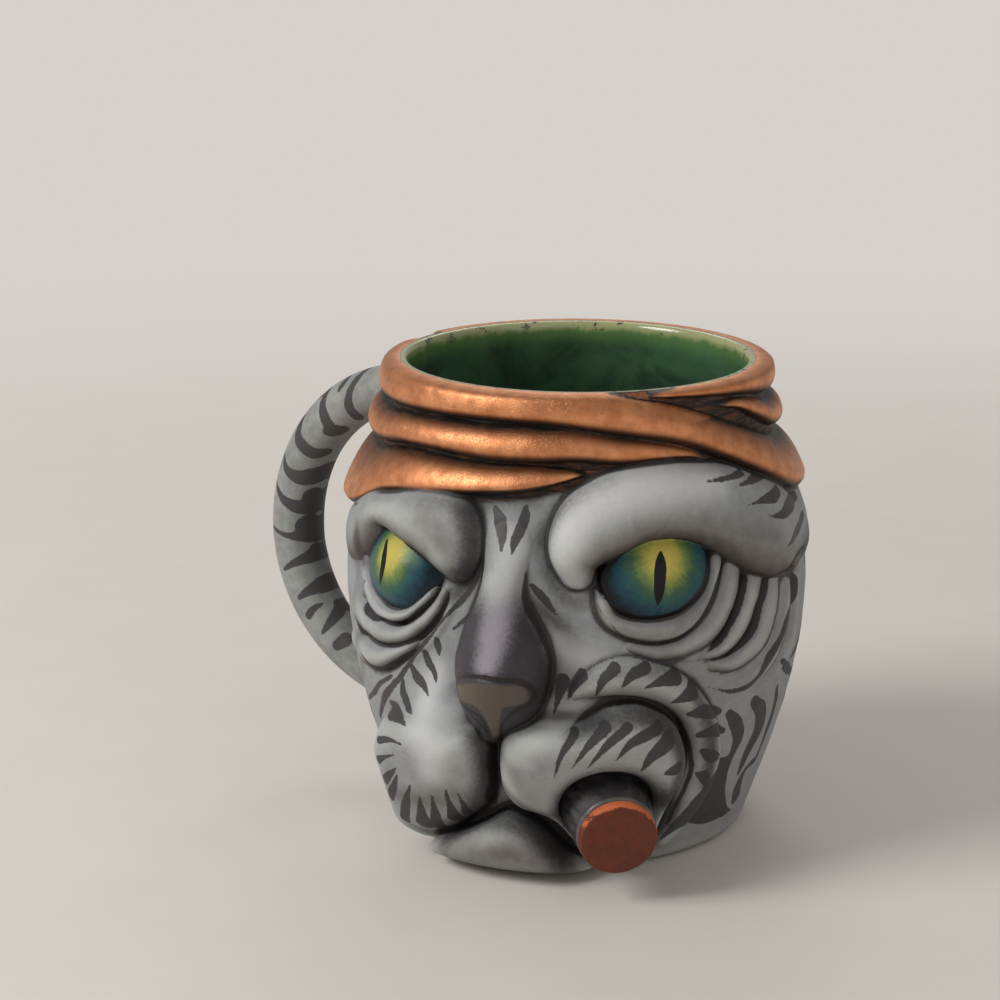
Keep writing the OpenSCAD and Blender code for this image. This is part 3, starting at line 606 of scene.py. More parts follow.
# The plain wall between the pieces, slightly uneven, with low ridges pushed up in it
wallLooks = {
    "slow": 0.12, "slowCell": 22, "quick": 0.05, "quickCell": 9, "ridgeCrown": 1.0, "ridgeBlend": 0.3,
}
ridges = [  # pixel x and y, width, and height in millimetres
    [(738, 681, 8, 0.4), (757, 673, 13, 0.8), (773, 656, 14, 1.1), (783, 632, 14, 1.2), (787, 607, 14, 1.2),
     (787, 585, 13, 1.1), (785, 572, 12, 0.8)],
    [(760, 690, 8, 0.4), (778, 668, 14, 1.0), (790, 645, 16, 1.5), (797, 615, 17, 1.7), (799, 590, 16, 1.6),
     (799, 570, 14, 1.2)],
    [(402, 664, 10, 0.2), (418, 652, 14, 0.6), (434, 634, 14, 0.7), (447, 614, 12, 0.6), (455, 596, 8, 0.2)],
]
ground = -edgeRound(gridZ) + wallLooks["slow"] * softNoise(gridA.shape, wallLooks["slowCell"], 1)
ground += wallLooks["quick"] * softNoise(gridA.shape, wallLooks["quickCell"], 2)
ground[:, -1] = ground[:, 0]
for ridge in ridges:
    ridgeField, _, _ = rollField({"crown": wallLooks["ridgeCrown"], "power": 1.0, "pixels": ridge})
    ground = smoothMax(ground, ridgeField, wallLooks["ridgeBlend"])

# The head: the pieces are laid over the wall one by one, and each place remembers which of them is highest
scarfEdge = {"round": 1.3, "from": 100.5, "flank": 0.4}  # millimetres, and the most that the top edge darkens with painted shade
boxRoom = {"inside": 0.12, "blend": 0.8}  # millimetres that the left side stays inside the solids' box
numbers = {node: number for number, node in enumerate(clays, 1)}
lift, highest, second = ground.copy(), ground.copy(), np.full(gridA.shape, farOff)
owner = np.zeros(gridA.shape, int)
crest, flank = np.zeros(gridA.shape), np.zeros(gridA.shape)
fields, ownLooks = {}, {}
for node, clay in clays.items():
    make = ballField if "ball" in clay else padField if "round" in clay else rollField
    field, side, rise = make(clay)
    if node.startswith("scarf"):
        over = np.clip((gridZ - cup["height"] + scarfEdge["round"]) / scarfEdge["round"], 0, 1)
        field -= scarfEdge["round"] * (1 - np.sqrt(1 - over**2))
        side = np.where((gridZ > scarfEdge["from"]) & (side > scarfEdge["flank"]), scarfEdge["flank"], side)
    fields[node] = field
    # each flank scaled for how strongly it darkens with painted shade
    side = side * np.where(side > 0, clay.get("above", 1), clay.get("below", 1))
    ownLooks[node] = {"crest": rise, "flank": side}
    lift = smoothMax(lift, field, clay["blend"])
    wins = field > highest
    second = np.where(wins, highest, np.maximum(second, field))
    highest = np.where(wins, field, highest)
    owner[wins] = numbers[node]
    crest[wins] = rise[wins]
    flank[wins] = side[wins]
sideRoom = (cadBox[1][0] / mm - boxRoom["inside"]) / np.clip(np.sin(np.radians(gridA)), 0.5, 1) - wallR
lift = -smoothMax(-lift, -sideRoom, boxRoom["blend"])
print("clay laid out:", len(clays), "rolls, pads and balls")


# What the camera sees of the head, so that strokes can be placed by the photograph's pixels

def onWall(angle, radius, z):
    # the point at an angle from the face, a distance from the mug's middle line and a height
    turn = np.radians(angle)
    return np.stack([radius * np.sin(turn), -radius * np.cos(turn), z * np.ones_like(radius)], -1)


points = onWall(gridA, wallR + lift, gridZ)
facesCamera = ((points - np.array(camera["place"]) / mm) * surfaceNormals(points, False)).sum(-1) < 0
seenU, seenV, seenDepth = toPhoto(points[facesCamera])
seenPlaces = np.stack([c[facesCamera] for c in (gridA, gridZ, wallR + lift)], -1)
sightAngle = np.degrees(np.arctan2(camera["place"][0], -camera["place"][1]))  # the camera's, round the mug

painting = {  # pixels for the search under a mark, and millimetres for the strokes
    "window": 9,
    "reach": 3.0,
    "spare": 0.5,
    "behind": 2.0,  # how far behind the frontmost point a point may lie
    "even": 0.05,  # keeps the nearest point from outweighing all others
    "turned": 0.55,  # the least share of its width at which a stroke is seen from the side
    "step": 0.45,  # along a stroke
    "thinnest": 0.05,
    "past": 1.5,  # how far beyond its edge a stroke is worked out
    "softPast": 0.2,
}


def fromPhoto(pixels):
    # angle, height and radius of the frontmost surface under each pixel, averaged over the nearest grid
    # points with weights that fall with the square of the distance
    found = []
    for x, y in pixels:
        beside = np.maximum(np.abs(seenU - x), np.abs(seenV - y))
        close = np.flatnonzero(beside < painting["window"])
        if not len(close):
            close = np.array([np.argmin((seenU - x) ** 2 + (seenV - y) ** 2)])
        gap = np.hypot(seenU[close] - x, seenV[close] - y)
        reached = gap <= max(painting["reach"], gap.min() + painting["spare"])
        front = reached & (seenDepth[close] < seenDepth[close][reached].min() + painting["behind"])
        weight = 1 / (gap[front] ** 2 + painting["even"])
        found.append((seenPlaces[close[front]] * weight[:, None]).sum(0) / weight.sum())
    return np.array(found)


def strokeField(strokes, soft=False):
    # strokes of (pixel x, pixel y, width in pixels) laid on the wall. Hard: millimetres inside the edge.
    # Soft: 1 on the stroke's line, easing to 0 at its edge.
    field = np.full(gridA.shape, 0.0 if soft else unpainted)
    past = painting["softPast"] if soft else painting["past"]
    for stroke in strokes:
        marks = np.array(stroke, float)
        placed = fromPhoto(marks[:, :2])
        turned = np.cos(np.radians(placed[:, 0] - sightAngle)).clip(painting["turned"])
        half = np.hypot(*(acrossStroke(marks) / np.stack([turned, np.ones(len(marks))], -1)).T) * pixelMm
        rows = np.column_stack([placed[:, :2], half, placed[:, 2]])
        for angle, z, half, radius in smoothLine(rows, (perDegree, 1), painting["step"]):
            half, perAngle = max(half, painting["thinnest"]), np.radians(radius)
            here = nearby(angle, z, half + past, perAngle)
            gap = np.hypot((gridA[here] - angle) * perAngle, gridZ[here] - z)
            value = ease(1 - gap / half) if soft else half - gap
            field[here] = np.maximum(field[here], value)
    return field


def patchField(outlines):
    # patches with outlines in pixels, laid on the wall: millimetres inside the edge
    field = np.full(gridA.shape, unpainted)
    for outline in outlines:
        placed = fromPhoto(outline)
        field = np.maximum(field, insideOutline(placed[:, :2] / (1, cup["height"])))
    return np.clip(field, unpainted, -unpainted)


# Carved and painted lines: (pixel x, pixel y, width in pixels), read from the photograph

carvedLines = [
    # round the left eye
    [(598, 608, 4), (610, 624, 4), (622, 636, 5), (638, 642, 5), (656, 644, 6), (678, 639, 8), (694, 628, 9),
     (708, 610, 9), (716, 594, 9), (721, 578, 8), (723, 564, 6)],
    [(706, 653, 3), (718, 643, 7), (727, 626, 9), (738, 604, 9), (742, 586, 8), (744, 577, 6)],
    [(674, 662, 2), (700, 661, 4), (726, 656, 6), (742, 644, 7), (752, 628, 9), (758, 606, 8), (764, 588, 8),
     (767, 579, 6)],
    # the left brow's lower edge at its outer end
    [(733, 561, 3), (746, 570, 4), (762, 575, 5), (773, 576, 5), (786, 571, 5), (797, 560, 5), (806, 547, 4)],
    # round the right eye
    [(361, 583, 4), (366, 607, 6), (373, 617, 7), (386, 622, 8), (395, 624, 8), (409, 621, 8), (423, 609, 8),
     (435, 597, 6), (440, 590, 4)],
    [(352, 617, 5), (359, 628, 6), (369, 638, 7), (380, 644, 7), (394, 646, 7), (409, 642, 7), (424, 634, 8),
     (437, 619, 7), (446, 603, 5), (451, 590, 3)],
    [(360, 656, 4), (366, 664, 6), (381, 669, 8), (395, 664, 8), (408, 655, 7), (421, 645, 4)],
    # under the nose's ridge, between the pads and round the mouth
    [(453, 682, 6), (465, 677, 7), (480, 678, 8), (500, 681, 9), (518, 682, 9), (530, 687, 8), (537, 698, 5)],
    [(453, 686, 5), (457, 700, 6), (468, 710, 7), (479, 717, 7), (487, 728, 6)],
    [(537, 690, 6), (530, 704, 8), (516, 711, 8), (506, 720, 6), (501, 738, 4)],
    [(489, 738, 6), (492, 760, 7), (493, 780, 7), (493, 801, 9)],
    [(463, 714, 4), (474, 720, 6), (483, 728, 8), (489, 740, 6)],
    # the groove between the cheek and the pad that holds the cigar
    [(563, 735, 3), (577, 723, 4), (588, 713, 5), (605, 706, 5), (617, 704, 6), (637, 702, 6), (652, 707, 6),
     (666, 713, 6), (679, 725, 6), (687, 739, 6), (691, 754, 6), (692, 768, 6), (688, 782, 6), (681, 797, 6),
     (673, 812, 6), (667, 825, 5)],
]
inkStrokes = [
    # forehead and beside the nose
    [(495, 508, 5), (500, 523, 12), (502, 535, 9), (501, 551, 2)],
    [(526, 507, 5), (525, 516, 9), (520, 530, 10), (515, 541, 8), (512, 555, 2)],
    [(531, 585, 4), (537, 591, 7), (546, 601, 7), (556, 615, 3)],
    # down the right cheek
    [(481, 564, 3), (479, 573, 5), (473, 586, 6), (463, 599, 6), (451, 611, 4), (440, 623, 3), (433, 633, 3),
     (420, 648, 5), (410, 662, 4), (401, 676, 5), (390, 689, 6), (382, 702, 5), (379, 717, 3)],
    [(476, 594, 3), (471, 606, 5), (463, 621, 4), (451, 631, 2)],
    [(392, 676, 3), (382, 682, 4), (372, 694, 4), (367, 699, 3)],
    [(437, 639, 4), (438, 646, 7), (439, 654, 3)],
    [(425, 652, 5), (428, 661, 8), (434, 671, 6), (436, 686, 1)],
    [(412, 667, 5), (416, 676, 9), (423, 684, 7), (429, 697, 1)],
    [(403, 681, 4), (403, 692, 8), (407, 702, 6), (413, 716, 1)],
    [(390, 703, 4), (394, 711, 9), (399, 718, 6), (407, 726, 1)],
    # fringe of the right pad
    [(378, 740, 8), (390, 740, 5), (401, 744, 2)],
    [(378, 760, 8), (385, 757, 4), (394, 755, 2)],
    [(385, 780, 8), (390, 774, 6), (396, 768, 2)],
    [(391, 796, 8), (394, 786, 6), (397, 775, 2)],
    [(405, 819, 7), (406, 803, 7), (410, 786, 2)],
    [(424, 824, 10), (422, 811, 7), (420, 798, 2)],
    [(439, 827, 9), (435, 811, 6), (432, 796, 2)],
    [(457, 819, 9), (451, 807, 6), (446, 789, 2)],
    [(469, 814, 6), (463, 803, 4), (458, 794, 2)],
    # outer end of the left brow
    [(704, 482, 1), (724, 479, 4), (742, 472, 5)],
    [(734, 487, 1), (750, 481, 5), (764, 474, 6)],
    [(748, 505, 1), (761, 501, 5), (772, 497, 8), (779, 488, 5)],
    [(767, 516, 1), (780, 515, 6), (790, 506, 8), (796, 494, 5)],
    [(788, 546, 1), (796, 535, 6), (803, 521, 6), (805, 512, 3)],
    # beside the folds and on the left side of the head
    [(780, 580, 6), (781, 594, 5), (777, 618, 5), (769, 641, 6), (756, 658, 6), (738, 670, 5), (721, 674, 2)],
    [(791, 568, 7), (795, 584, 6), (790, 613, 6), (782, 636, 5), (767, 662, 6), (752, 683, 6), (733, 691, 5),
     (708, 687, 2)],
    [(807, 611, 5), (803, 632, 7), (798, 647, 6), (792, 658, 3)],
    [(782, 661, 4), (788, 668, 8), (793, 672, 5)],
    # along the left cheek
    [(563, 680, 13), (559, 695, 8), (554, 714, 2)],
    [(582, 674, 11), (573, 687, 7), (568, 701, 2)],
    [(615, 669, 11), (605, 678, 9), (595, 697, 2)],
    [(646, 668, 11), (633, 675, 10), (621, 688, 2)],
    [(677, 677, 14), (662, 681, 10), (645, 688, 2)],
    [(693, 691, 17), (683, 698, 10), (671, 703, 2)],
    [(689, 714, 6), (700, 712, 13), (712, 712, 12), (719, 712, 8)],
    [(699, 735, 6), (710, 732, 12), (723, 731, 7)],
    [(703, 751, 6), (711, 756, 13), (718, 757, 8)],
    [(698, 774, 5), (704, 776, 11), (705, 784, 4)],
    # on the left pad
    [(554, 778, 1), (562, 754, 6), (575, 733, 9)],
    [(572, 768, 1), (588, 747, 7), (606, 727, 10)],
    [(588, 768, 1), (605, 748, 7), (628, 728, 10)],
    [(615, 761, 1), (632, 743, 9), (658, 728, 12)],
    [(640, 772, 1), (651, 758, 11), (668, 741, 18)],
    [(665, 774, 3), (670, 772, 9), (678, 768, 13)],
    # down the left side
    [(729, 714, 8), (736, 724, 12), (738, 739, 11), (731, 756, 7), (727, 768, 5)],
    [(754, 701, 8), (761, 713, 11), (758, 730, 11), (749, 748, 9), (741, 767, 6), (738, 774, 3)],
    [(778, 688, 4), (776, 704, 6), (767, 734, 6), (757, 758, 5), (746, 770, 5), (739, 784, 8), (736, 797, 9)],
]
inkPatches = [
    [(658, 841), (673, 822), (697, 795), (717, 771), (729, 757), (727, 776), (725, 791), (727, 806),
     (732, 810), (721, 817), (701, 824), (684, 827), (668, 835)],
]
noseUnder = [(454, 689), (459, 685), (473, 683), (484, 684), (499, 686), (516, 686), (526, 690), (529, 699),
             (519, 705), (503, 707), (501, 712), (499, 735), (493, 735), (486, 720), (476, 707), (463, 702),
             (456, 697)]
# Soft painted shade and shadow in the creases and beside the pieces, partly the mug's own airbrushed charcoal
smokeStrokes = [
    # inside the right brow, under the scarf and inside the left brow
    [(462, 503, 20), (470, 530, 28), (471, 560, 28), (460, 590, 26), (444, 600, 14)],
    [(400, 500, 8), (440, 503, 12), (490, 504, 14), (540, 500, 16)],
    [(540, 545, 22), (549, 520, 18), (563, 505, 14), (590, 487, 10), (620, 477, 8)],
    [(545, 560, 18), (556, 588, 22), (580, 605, 16), (598, 602, 10)],
    [(532, 600, 16), (550, 616, 22), (572, 632, 16)],
    [(534, 603, 8), (543, 612, 8), (552, 622, 5)],
    # at the outer end of the right brow
    [(357, 528, 12), (357, 548, 14), (364, 568, 10)],
    [(366, 527, 10), (382, 523, 12), (398, 530, 10)],
    # right pad's inner side, and below it
    [(463, 718, 10), (478, 738, 20), (485, 762, 22), (484, 790, 24), (470, 813, 20), (448, 832, 14)],
    [(405, 822, 10), (425, 832, 16), (442, 836, 12)],
    # chin
    [(497, 812, 24), (520, 822, 28), (550, 840, 34), (566, 858, 34)],
    [(440, 846, 10), (470, 826, 14), (497, 812, 20)],
    [(445, 858, 12), (480, 874, 14), (530, 878, 14), (580, 872, 16)],
    # left pad: its inner side, and its top under the cheek
    [(500, 744, 12), (497, 767, 14), (502, 787, 16), (520, 806, 18), (548, 818, 22), (560, 812, 18)],
    [(566, 740, 14), (598, 722, 26), (640, 716, 30), (670, 732, 32), (682, 758, 30), (676, 788, 24),
     (664, 808, 20)],
    [(560, 800, 14), (585, 776, 12), (612, 768, 10), (640, 776, 12), (658, 800, 14)],
    [(672, 728, 12), (682, 752, 16), (683, 772, 18), (677, 792, 20), (668, 812, 20), (660, 830, 16)],
    # behind the nose and down the left cheek
    [(548, 695, 12), (553, 675, 14), (547, 650, 12)],
    [(692, 690, 20), (706, 715, 26), (712, 745, 26), (706, 785, 22)],
    [(552, 688, 9), (572, 682, 11), (612, 673, 13), (645, 671, 15), (677, 680, 16)],
    # round the nose's brown patch, and the inner side of the right brow
    [(453, 690, 15), (463, 706, 16), (479, 720, 14), (489, 736, 10)],
    [(541, 688, 20), (534, 706, 24), (514, 718, 22), (502, 736, 16)],
    [(424, 566, 8), (441, 576, 14), (459, 572, 18), (470, 553, 18), (474, 527, 14)],
    [(496, 745, 14), (503, 760, 12)],
]
# painted highlights, partly the mug's own pale drybrush
paleHighlightStrokes = [
    [(558, 560, 16), (560, 535, 26), (576, 508, 32), (612, 490, 34), (660, 482, 28), (720, 482, 22)],
    [(512, 560, 22), (510, 580, 24), (505, 600, 20)],
    [(440, 665, 22), (425, 705, 40), (430, 742, 52), (428, 770, 36)],
    [(548, 640, 20), (566, 655, 24), (600, 656, 16)],
    [(530, 742, 14), (548, 736, 20), (566, 722, 14)],
    [(572, 545, 30), (586, 520, 40), (615, 505, 42), (660, 495, 38), (720, 488, 28)],
    [(512, 575, 20), (512, 555, 30), (512, 535, 20)],
    [(548, 725, 16), (580, 706, 16), (625, 694, 14), (665, 700, 14), (694, 728, 12), (698, 765, 12),
     (684, 800, 10)],
]
# brown painted shade and painted warm light reflected from below, partly the mug's own brown wash
brownShadeStrokes = [
    [(444, 846, 30), (478, 854, 50), (515, 856, 64), (560, 860, 60)],
    [(604, 557, 12), (636, 542, 18), (676, 532, 24), (714, 536, 26), (746, 555, 26), (772, 566, 24),
     (796, 548, 18)],
    [(388, 528, 8), (410, 546, 12), (432, 566, 14), (455, 574, 14)],
    [(352, 556, 10), (352, 600, 13), (355, 645, 13), (362, 690, 12), (372, 720, 10)],
    [(700, 520, 18), (740, 530, 26), (780, 540, 24)],
    [(560, 655, 16), (610, 662, 12)],
    [(602, 612, 16), (622, 630, 24), (645, 636, 26), (672, 632, 24), (696, 617, 20), (712, 596, 16)],
    [(512, 770, 30), (530, 800, 26)],
    [(390, 790, 26), (425, 800, 38), (458, 794, 36)],
    [(418, 516, 20), (438, 532, 34), (450, 555, 32)],
]
shineStrokes = [  # a painted highlight along the nose's ridge
    [(506, 575, 34), (501, 600, 40), (497, 625, 44), (491, 650, 44), (484, 670, 36)],
]

# Strokes that the photograph doesn't show, round the back of the head: angle, height and width in mm
backStripes = {
    "angles": [-95, -81, 98, 113, 127, 144, 158, 175, 190, 206, 221, 238],
    "top": 76.0,
    "bottom": 10.0,
    "width": 5.2,
    "sway": 8.0,
    "gap": 0.03,  # half the share of a stripe's length where it is broken
    "steps": 60,
    "seed": 7,
}


def backStripeField(stripes):
    # wavy upright strokes, each broken once, thick in the middle and thin at both ends: a straight lean, a
    # bow of half a sine wave and a whole sine wave move the stroke sideways, and a sine wave's power gives
    # its width
    draw = np.random.default_rng(stripes["seed"])
    field = np.full(gridA.shape, unpainted)
    for angle in stripes["angles"]:
        gap = draw.uniform(0.3, 0.7)
        for low, high in ((0.0, gap - stripes["gap"]), (gap + stripes["gap"], 1.0)):
            low, high = low + draw.uniform(0, 0.1), high - draw.uniform(0, 0.1)
            lean, bow = draw.uniform(-1, 1, 2)
            wave = draw.uniform(-0.5, 0.5)
            t = np.linspace(0, 1, stripes["steps"])
            z = stripes["top"] + (stripes["bottom"] - stripes["top"]) * (low + (high - low) * t)
            bend = lean * (t - 0.5) + bow * np.sin(np.pi * t) * 0.6 + wave * np.sin(2 * np.pi * t)
            line = angle + stripes["sway"] * bend
            half = stripes["width"] / 2 * np.sin(np.pi * (0.04 + 0.92 * t**0.6)) ** 0.8 * draw.uniform(0.55, 1)
            for place, up, wide in zip(line, z, half):
                perAngle = np.radians(wallRadius(up))
                here = nearby(place, up, wide + painting["past"], perAngle)
                away = np.hypot((gridA[here] - place) * perAngle, gridZ[here] - up)
                field[here] = np.maximum(field[here], wide - away)
    return field


carving = {  # millimetres
    "inset": 0.3,  # how far a carved line stays inside its painted width
    "depth": 0.45,
    "shoulder": 0.6,
    "slope": 0.9,
    "uneven": 0.07,
    "cell": 6,
    "hollow": 0.8,  # the sizes over which dark paint, the mug's own wash and painted shade, finds narrow hollows and wide valleys
    "valley": 2.6,
}
wash = {  # millimetres
    "soft": 1.2,
    "shineSoft": 0.8,
    "underScarf": 2.8,  # how far below the scarf its dark ground and painted shade reach
    "scarfSoft": 0.8,
    "browClear": 0.1,
    "browSoft": 0.5,
    "lip": 105.0,
    "lipSoft": 0.9,
    "noseSoft": 0.4,
    "noseTop": 73.5,
    "noseFull": 60.5,
}
lineField = strokeField(carvedLines) - carving["inset"]
inkField = np.maximum(strokeField(inkStrokes), patchField(inkPatches))
inkField = np.maximum(inkField, backStripeField(backStripes))
# painted shade, painted highlights and brown painted shade, each blurred
smoke, pale, brownShade = (
    blur(strokeField(strokes, soft=True), wash["soft"]) for strokes in (smokeStrokes, paleHighlightStrokes, brownShadeStrokes)
)
# the painted highlight along the nose's ridge, blurred
shine = blur(strokeField(shineStrokes, soft=True), wash["shineSoft"])
under = patchField([noseUnder])
strokeCount = sum(map(len, (carvedLines, inkStrokes, smokeStrokes, paleHighlightStrokes, brownShadeStrokes, shineStrokes)))
print("strokes painted:", strokeCount)

# The carved lines are pressed into the clay, and the whole surface gets its hand-made unevenness
lift -= carving["depth"] * ease((lineField + carving["shoulder"]) / carving["slope"])
lift += carving["uneven"] * softNoise(gridA.shape, carving["cell"], 3) * fade(gridZ, 2, 5)
points = onWall(gridA, wallR + lift, gridZ)
normals = surfaceNormals(points, False)
scarfField = np.max([fields[node] for node in clays if node.startswith("scarf")], axis=0)
browField = np.maximum(fields["brow_left"], fields["brow_right"])
# the scarf's dark ground round its rolls, and painted shade below it, clear of the brows
cloth = ease((scarfField + wash["underScarf"]) / wash["scarfSoft"])
cloth *= ease((-browField - wash["browClear"]) / wash["browSoft"])
noseOwn = np.isin(owner, [numbers["nose_bridge"], numbers["nose_tip"]]).astype(float)
headFields = {
    "cloth": cloth, "lip": ease((gridZ - wash["lip"]) / wash["lipSoft"]),
    "hollow": blur(lift, carving["hollow"]) - lift, "valley": blur(lift, carving["valley"]) - lift,
    "crest": crest, "flank": flank, "line": lineField, "ink": inkField,
    "smoke": smoke, "pale": pale, "brownShade": brownShade, "shine": shine, "under": under,
    "nose": blur(noseOwn, wash["noseSoft"]) * fade(gridZ, wash["noseTop"], wash["noseFull"]),
}


def onePart(keep):
    # fills cells that only meet at a corner, then keeps the largest group that meets along edges: each cell's
    # number spreads along its run in a row or column until nothing changes
    for corner in (keep, keep[:, ::-1]):
        pinch = corner[:-1, :-1] & corner[1:, 1:] & ~corner[1:, :-1] & ~corner[:-1, 1:]
        corner[1:, :-1] |= pinch
    label, before = np.where(keep, np.arange(keep.size).reshape(keep.shape) + 1, 0), None
    while before is None or (label != before).any():
        before = label
        for axis, back in ((1, False), (1, True), (0, False), (0, True)):
            seen = np.flip(label, axis) if back else label
            runs = np.cumsum(seen == 0, axis=axis) * (keep.size + 1)
            seen = np.maximum.accumulate(seen + runs, axis=axis) - runs
            label = np.flip(seen, axis) if back else seen
    sizes = np.bincount(label.ravel())
    sizes[0] = 0
    return label == sizes.argmax()


def cellShell(name, keep, top, back, **extra):
    # a closed shell over the kept cells: the top sheet, a back sheet behind it, and a wall between them
    rows, columns = gridA.shape
    index = np.arange(rows * columns).reshape(rows, columns)
    r, c = np.nonzero(keep)
    quads = np.stack([index[r, c], index[r, c + 1], index[r + 1, c + 1], index[r + 1, c]], -1)
    grown = np.pad(keep, 1)
    walls = []
    neighbours = (grown[:-2, 1:-1], grown[1:-1, 2:], grown[2:, 1:-1], grown[1:-1, :-2])
    for side, beyond in enumerate(neighbours):
        edge = ~beyond[r, c]
        walls.append(np.stack([quads[edge, side], quads[edge, (side + 1) % 4]], -1))
    walls = np.concatenate(walls)
    used, compact = np.unique(quads, return_inverse=True)
    count = len(used)
    place = np.zeros(rows * columns, int)
    place[used] = np.arange(count)
    quads, walls = compact.reshape(-1, 4), place[walls]
    sides = np.stack([walls[:, 1], walls[:, 0], walls[:, 0] + count, walls[:, 1] + count], -1)
    faces = np.concatenate([quads, quads[:, ::-1] + count, sides])
    a, z, base = gridA.ravel()[used], gridZ.ravel()[used], wallR.ravel()[used]
    shell = np.concatenate([onWall(a, base + sheet.ravel()[used], z) for sheet in (top, back)])
    # normals as on the whole head, turned up along the mug's top edge
    outward = normals.reshape(-1, 3)[used]
    upper = (z > cup["height"] - 0.01)[:, None]
    behind = np.where(upper, (0, 0, 1), -outward)
    outward = np.where(upper, outward + (0, 0, 1.2), outward)
    double = {key: np.tile(values.ravel()[used], 2) for key, values in {**headFields, **extra}.items()}
    return makePiece(name, shell, [faces], np.concatenate([outward, behind]), **double)


def clayPiece(node, name, material, slotName, **extra):
    # one piece of clay: the head's surface where this piece stands highest, sinking just past its joint
    margin = fields[node] - np.where(owner == numbers[node], second, highest)
    sink = np.clip(-margin, 0, headGrid["dip"])
    seen = margin > -headGrid["dip"]
    keep = seen[:-1, :-1] | seen[1:, :-1] | seen[:-1, 1:] | seen[1:, 1:]
    top = lift - sink
    back = np.minimum(ground - headGrid["behind"], top - headGrid["thin"])
    piece = cellShell(name, onePart(keep), top, back, **ownLooks[node], **extra)
    settle(piece, material, node)


def sampled(field, angle, z):
    # the head's field between its grid points, blended from the four round each place
    c = (angle - angles[0]) / (angles[1] - angles[0])
    r = (z - heights[0]) / (heights[1] - heights[0])
    i, j = np.clip(r.astype(int), 0, len(heights) - 2), np.clip(c.astype(int), 0, len(angles) - 2)
    u, v = r - i, c - j
    if field.ndim == 3:
        u, v = u[..., None], v[..., None]
    low = field[i, j] * (1 - v) + field[i, j + 1] * v
    high = field[i + 1, j] * (1 - v) + field[i + 1, j + 1] * v
    return low * (1 - u) + high * u


# Materials

def tone(red, green, blue):
    # a colour as it looks on screen, 0 to 255, turned into the linear values that shaders take
    c = np.array([red, green, blue]) / 255
    linear = np.where(c <= 0.04045, c / 12.92, ((c + 0.055) / 1.055) ** 2.4)
    return (*linear, 1.0)


def fill(tree, made, inputs):
    # links each input that is another node's output, and sets each that is a plain value
    for key, value in inputs.items():
        if isinstance(value, bpy.types.NodeSocket):
            tree.links.new(value, made.inputs[key])
        else:
            made.inputs[key].default_value = value


def put(tree, kind, inputs=None, **settings):
    # adds a node, sets it up, and links or sets its inputs
    made = tree.nodes.new("ShaderNode" + kind)
    for key, value in settings.items():
        setattr(made, key, value)
    fill(tree, made, inputs or {})
    return made


def blendColours(tree, factor, first, second):
    # first + (second - first) * factor; each colour is an output, or red, green and blue as tone takes them
    pair = [c if isinstance(c, bpy.types.NodeSocket) else tone(*c) for c in (first, second)]
    return put(tree, "Mix", {0: factor, 6: pair[0], 7: pair[1]}, data_type="RGBA").outputs[2]


def maths(tree, kind, a, b=0.0, c=0.0, clamp=False):
    # one step of arithmetic with up to three numbers
    return put(tree, "Math", {0: a, 1: b, 2: c}, operation=kind, use_clamp=clamp).outputs[0]


def washed(tree, colour, mask, share, over):
    # lays a share of another colour over a colour, as far as the mask reaches
    return blendColours(tree, maths(tree, "MULTIPLY", mask, share, clamp=True), colour, over)


def strayed(tree, value, wander, amount):
    # value + (noise - 0.5) * amount
    return maths(tree, "MULTIPLY_ADD", maths(tree, "SUBTRACT", wander, 0.5), amount, value)


def spread(tree, value, low, high, first=0.0, last=1.0):
    # eases value from low to high into first to last
    inputs = {"Value": value, "From Min": low, "From Max": high, "To Min": first, "To Max": last}
    return put(tree, "MapRange", inputs, interpolation_type="SMOOTHSTEP").outputs[0]


def attribute(tree, name):
    # a number that the mesh carries at each point
    return put(tree, "Attribute", attribute_name=name).outputs["Fac"]


def noise(tree, scale, detail=2.0, rough=0.5, stretch=None, warp=0.0):
    # fractal noise in the piece's own space, scale in waves per metre, finer along an axis with a higher
    # stretch
    where = put(tree, "TexCoord").outputs["Object"]
    if stretch is not None:
        where = put(tree, "Mapping", {"Vector": where, "Scale": stretch}).outputs[0]
    inputs = {"Vector": where, "Scale": scale, "Detail": detail, "Roughness": rough, "Distortion": warp}
    return put(tree, "TexNoise", inputs).outputs[0]


def newGroup(name, inputs, outputs):
    # an empty group of nodes with numbers for sockets: the inputs with their values, and the outputs
    group = bpy.data.node_groups.new(name, "ShaderNodeTree")
    for title, value in inputs.items():
        group.interface.new_socket(title, in_out="INPUT", socket_type="NodeSocketFloat").default_value = value
    for title in outputs:
        group.interface.new_socket(title, in_out="OUTPUT", socket_type="NodeSocketFloat")
    return group, group.nodes.new("NodeGroupInput"), group.nodes.new("NodeGroupOutput")


def use(tree, group, **inputs):
    # places a group with its own values and gives back its outputs
    return put(tree, "Group", inputs, node_tree=group).outputs


def newMaterial(name):
    # a material with one Principled shader
    material = bpy.data.materials.new(name)
    material.use_nodes = True
    tree = material.node_tree
    tree.nodes.clear()
    shader = tree.nodes.new("ShaderNodeBsdfPrincipled")
    output = tree.nodes.new("ShaderNodeOutputMaterial")
    tree.links.new(shader.outputs[0], output.inputs[0])
    return material, tree, shader


def addBump(tree, shader, height, strength, distance):
    # tilts the shader's normals along a height field; distance in metres
    bump = put(tree, "Bump", {"Height": height, "Strength": strength, "Distance": distance})
    tree.links.new(bump.outputs[0], shader.inputs["Normal"])


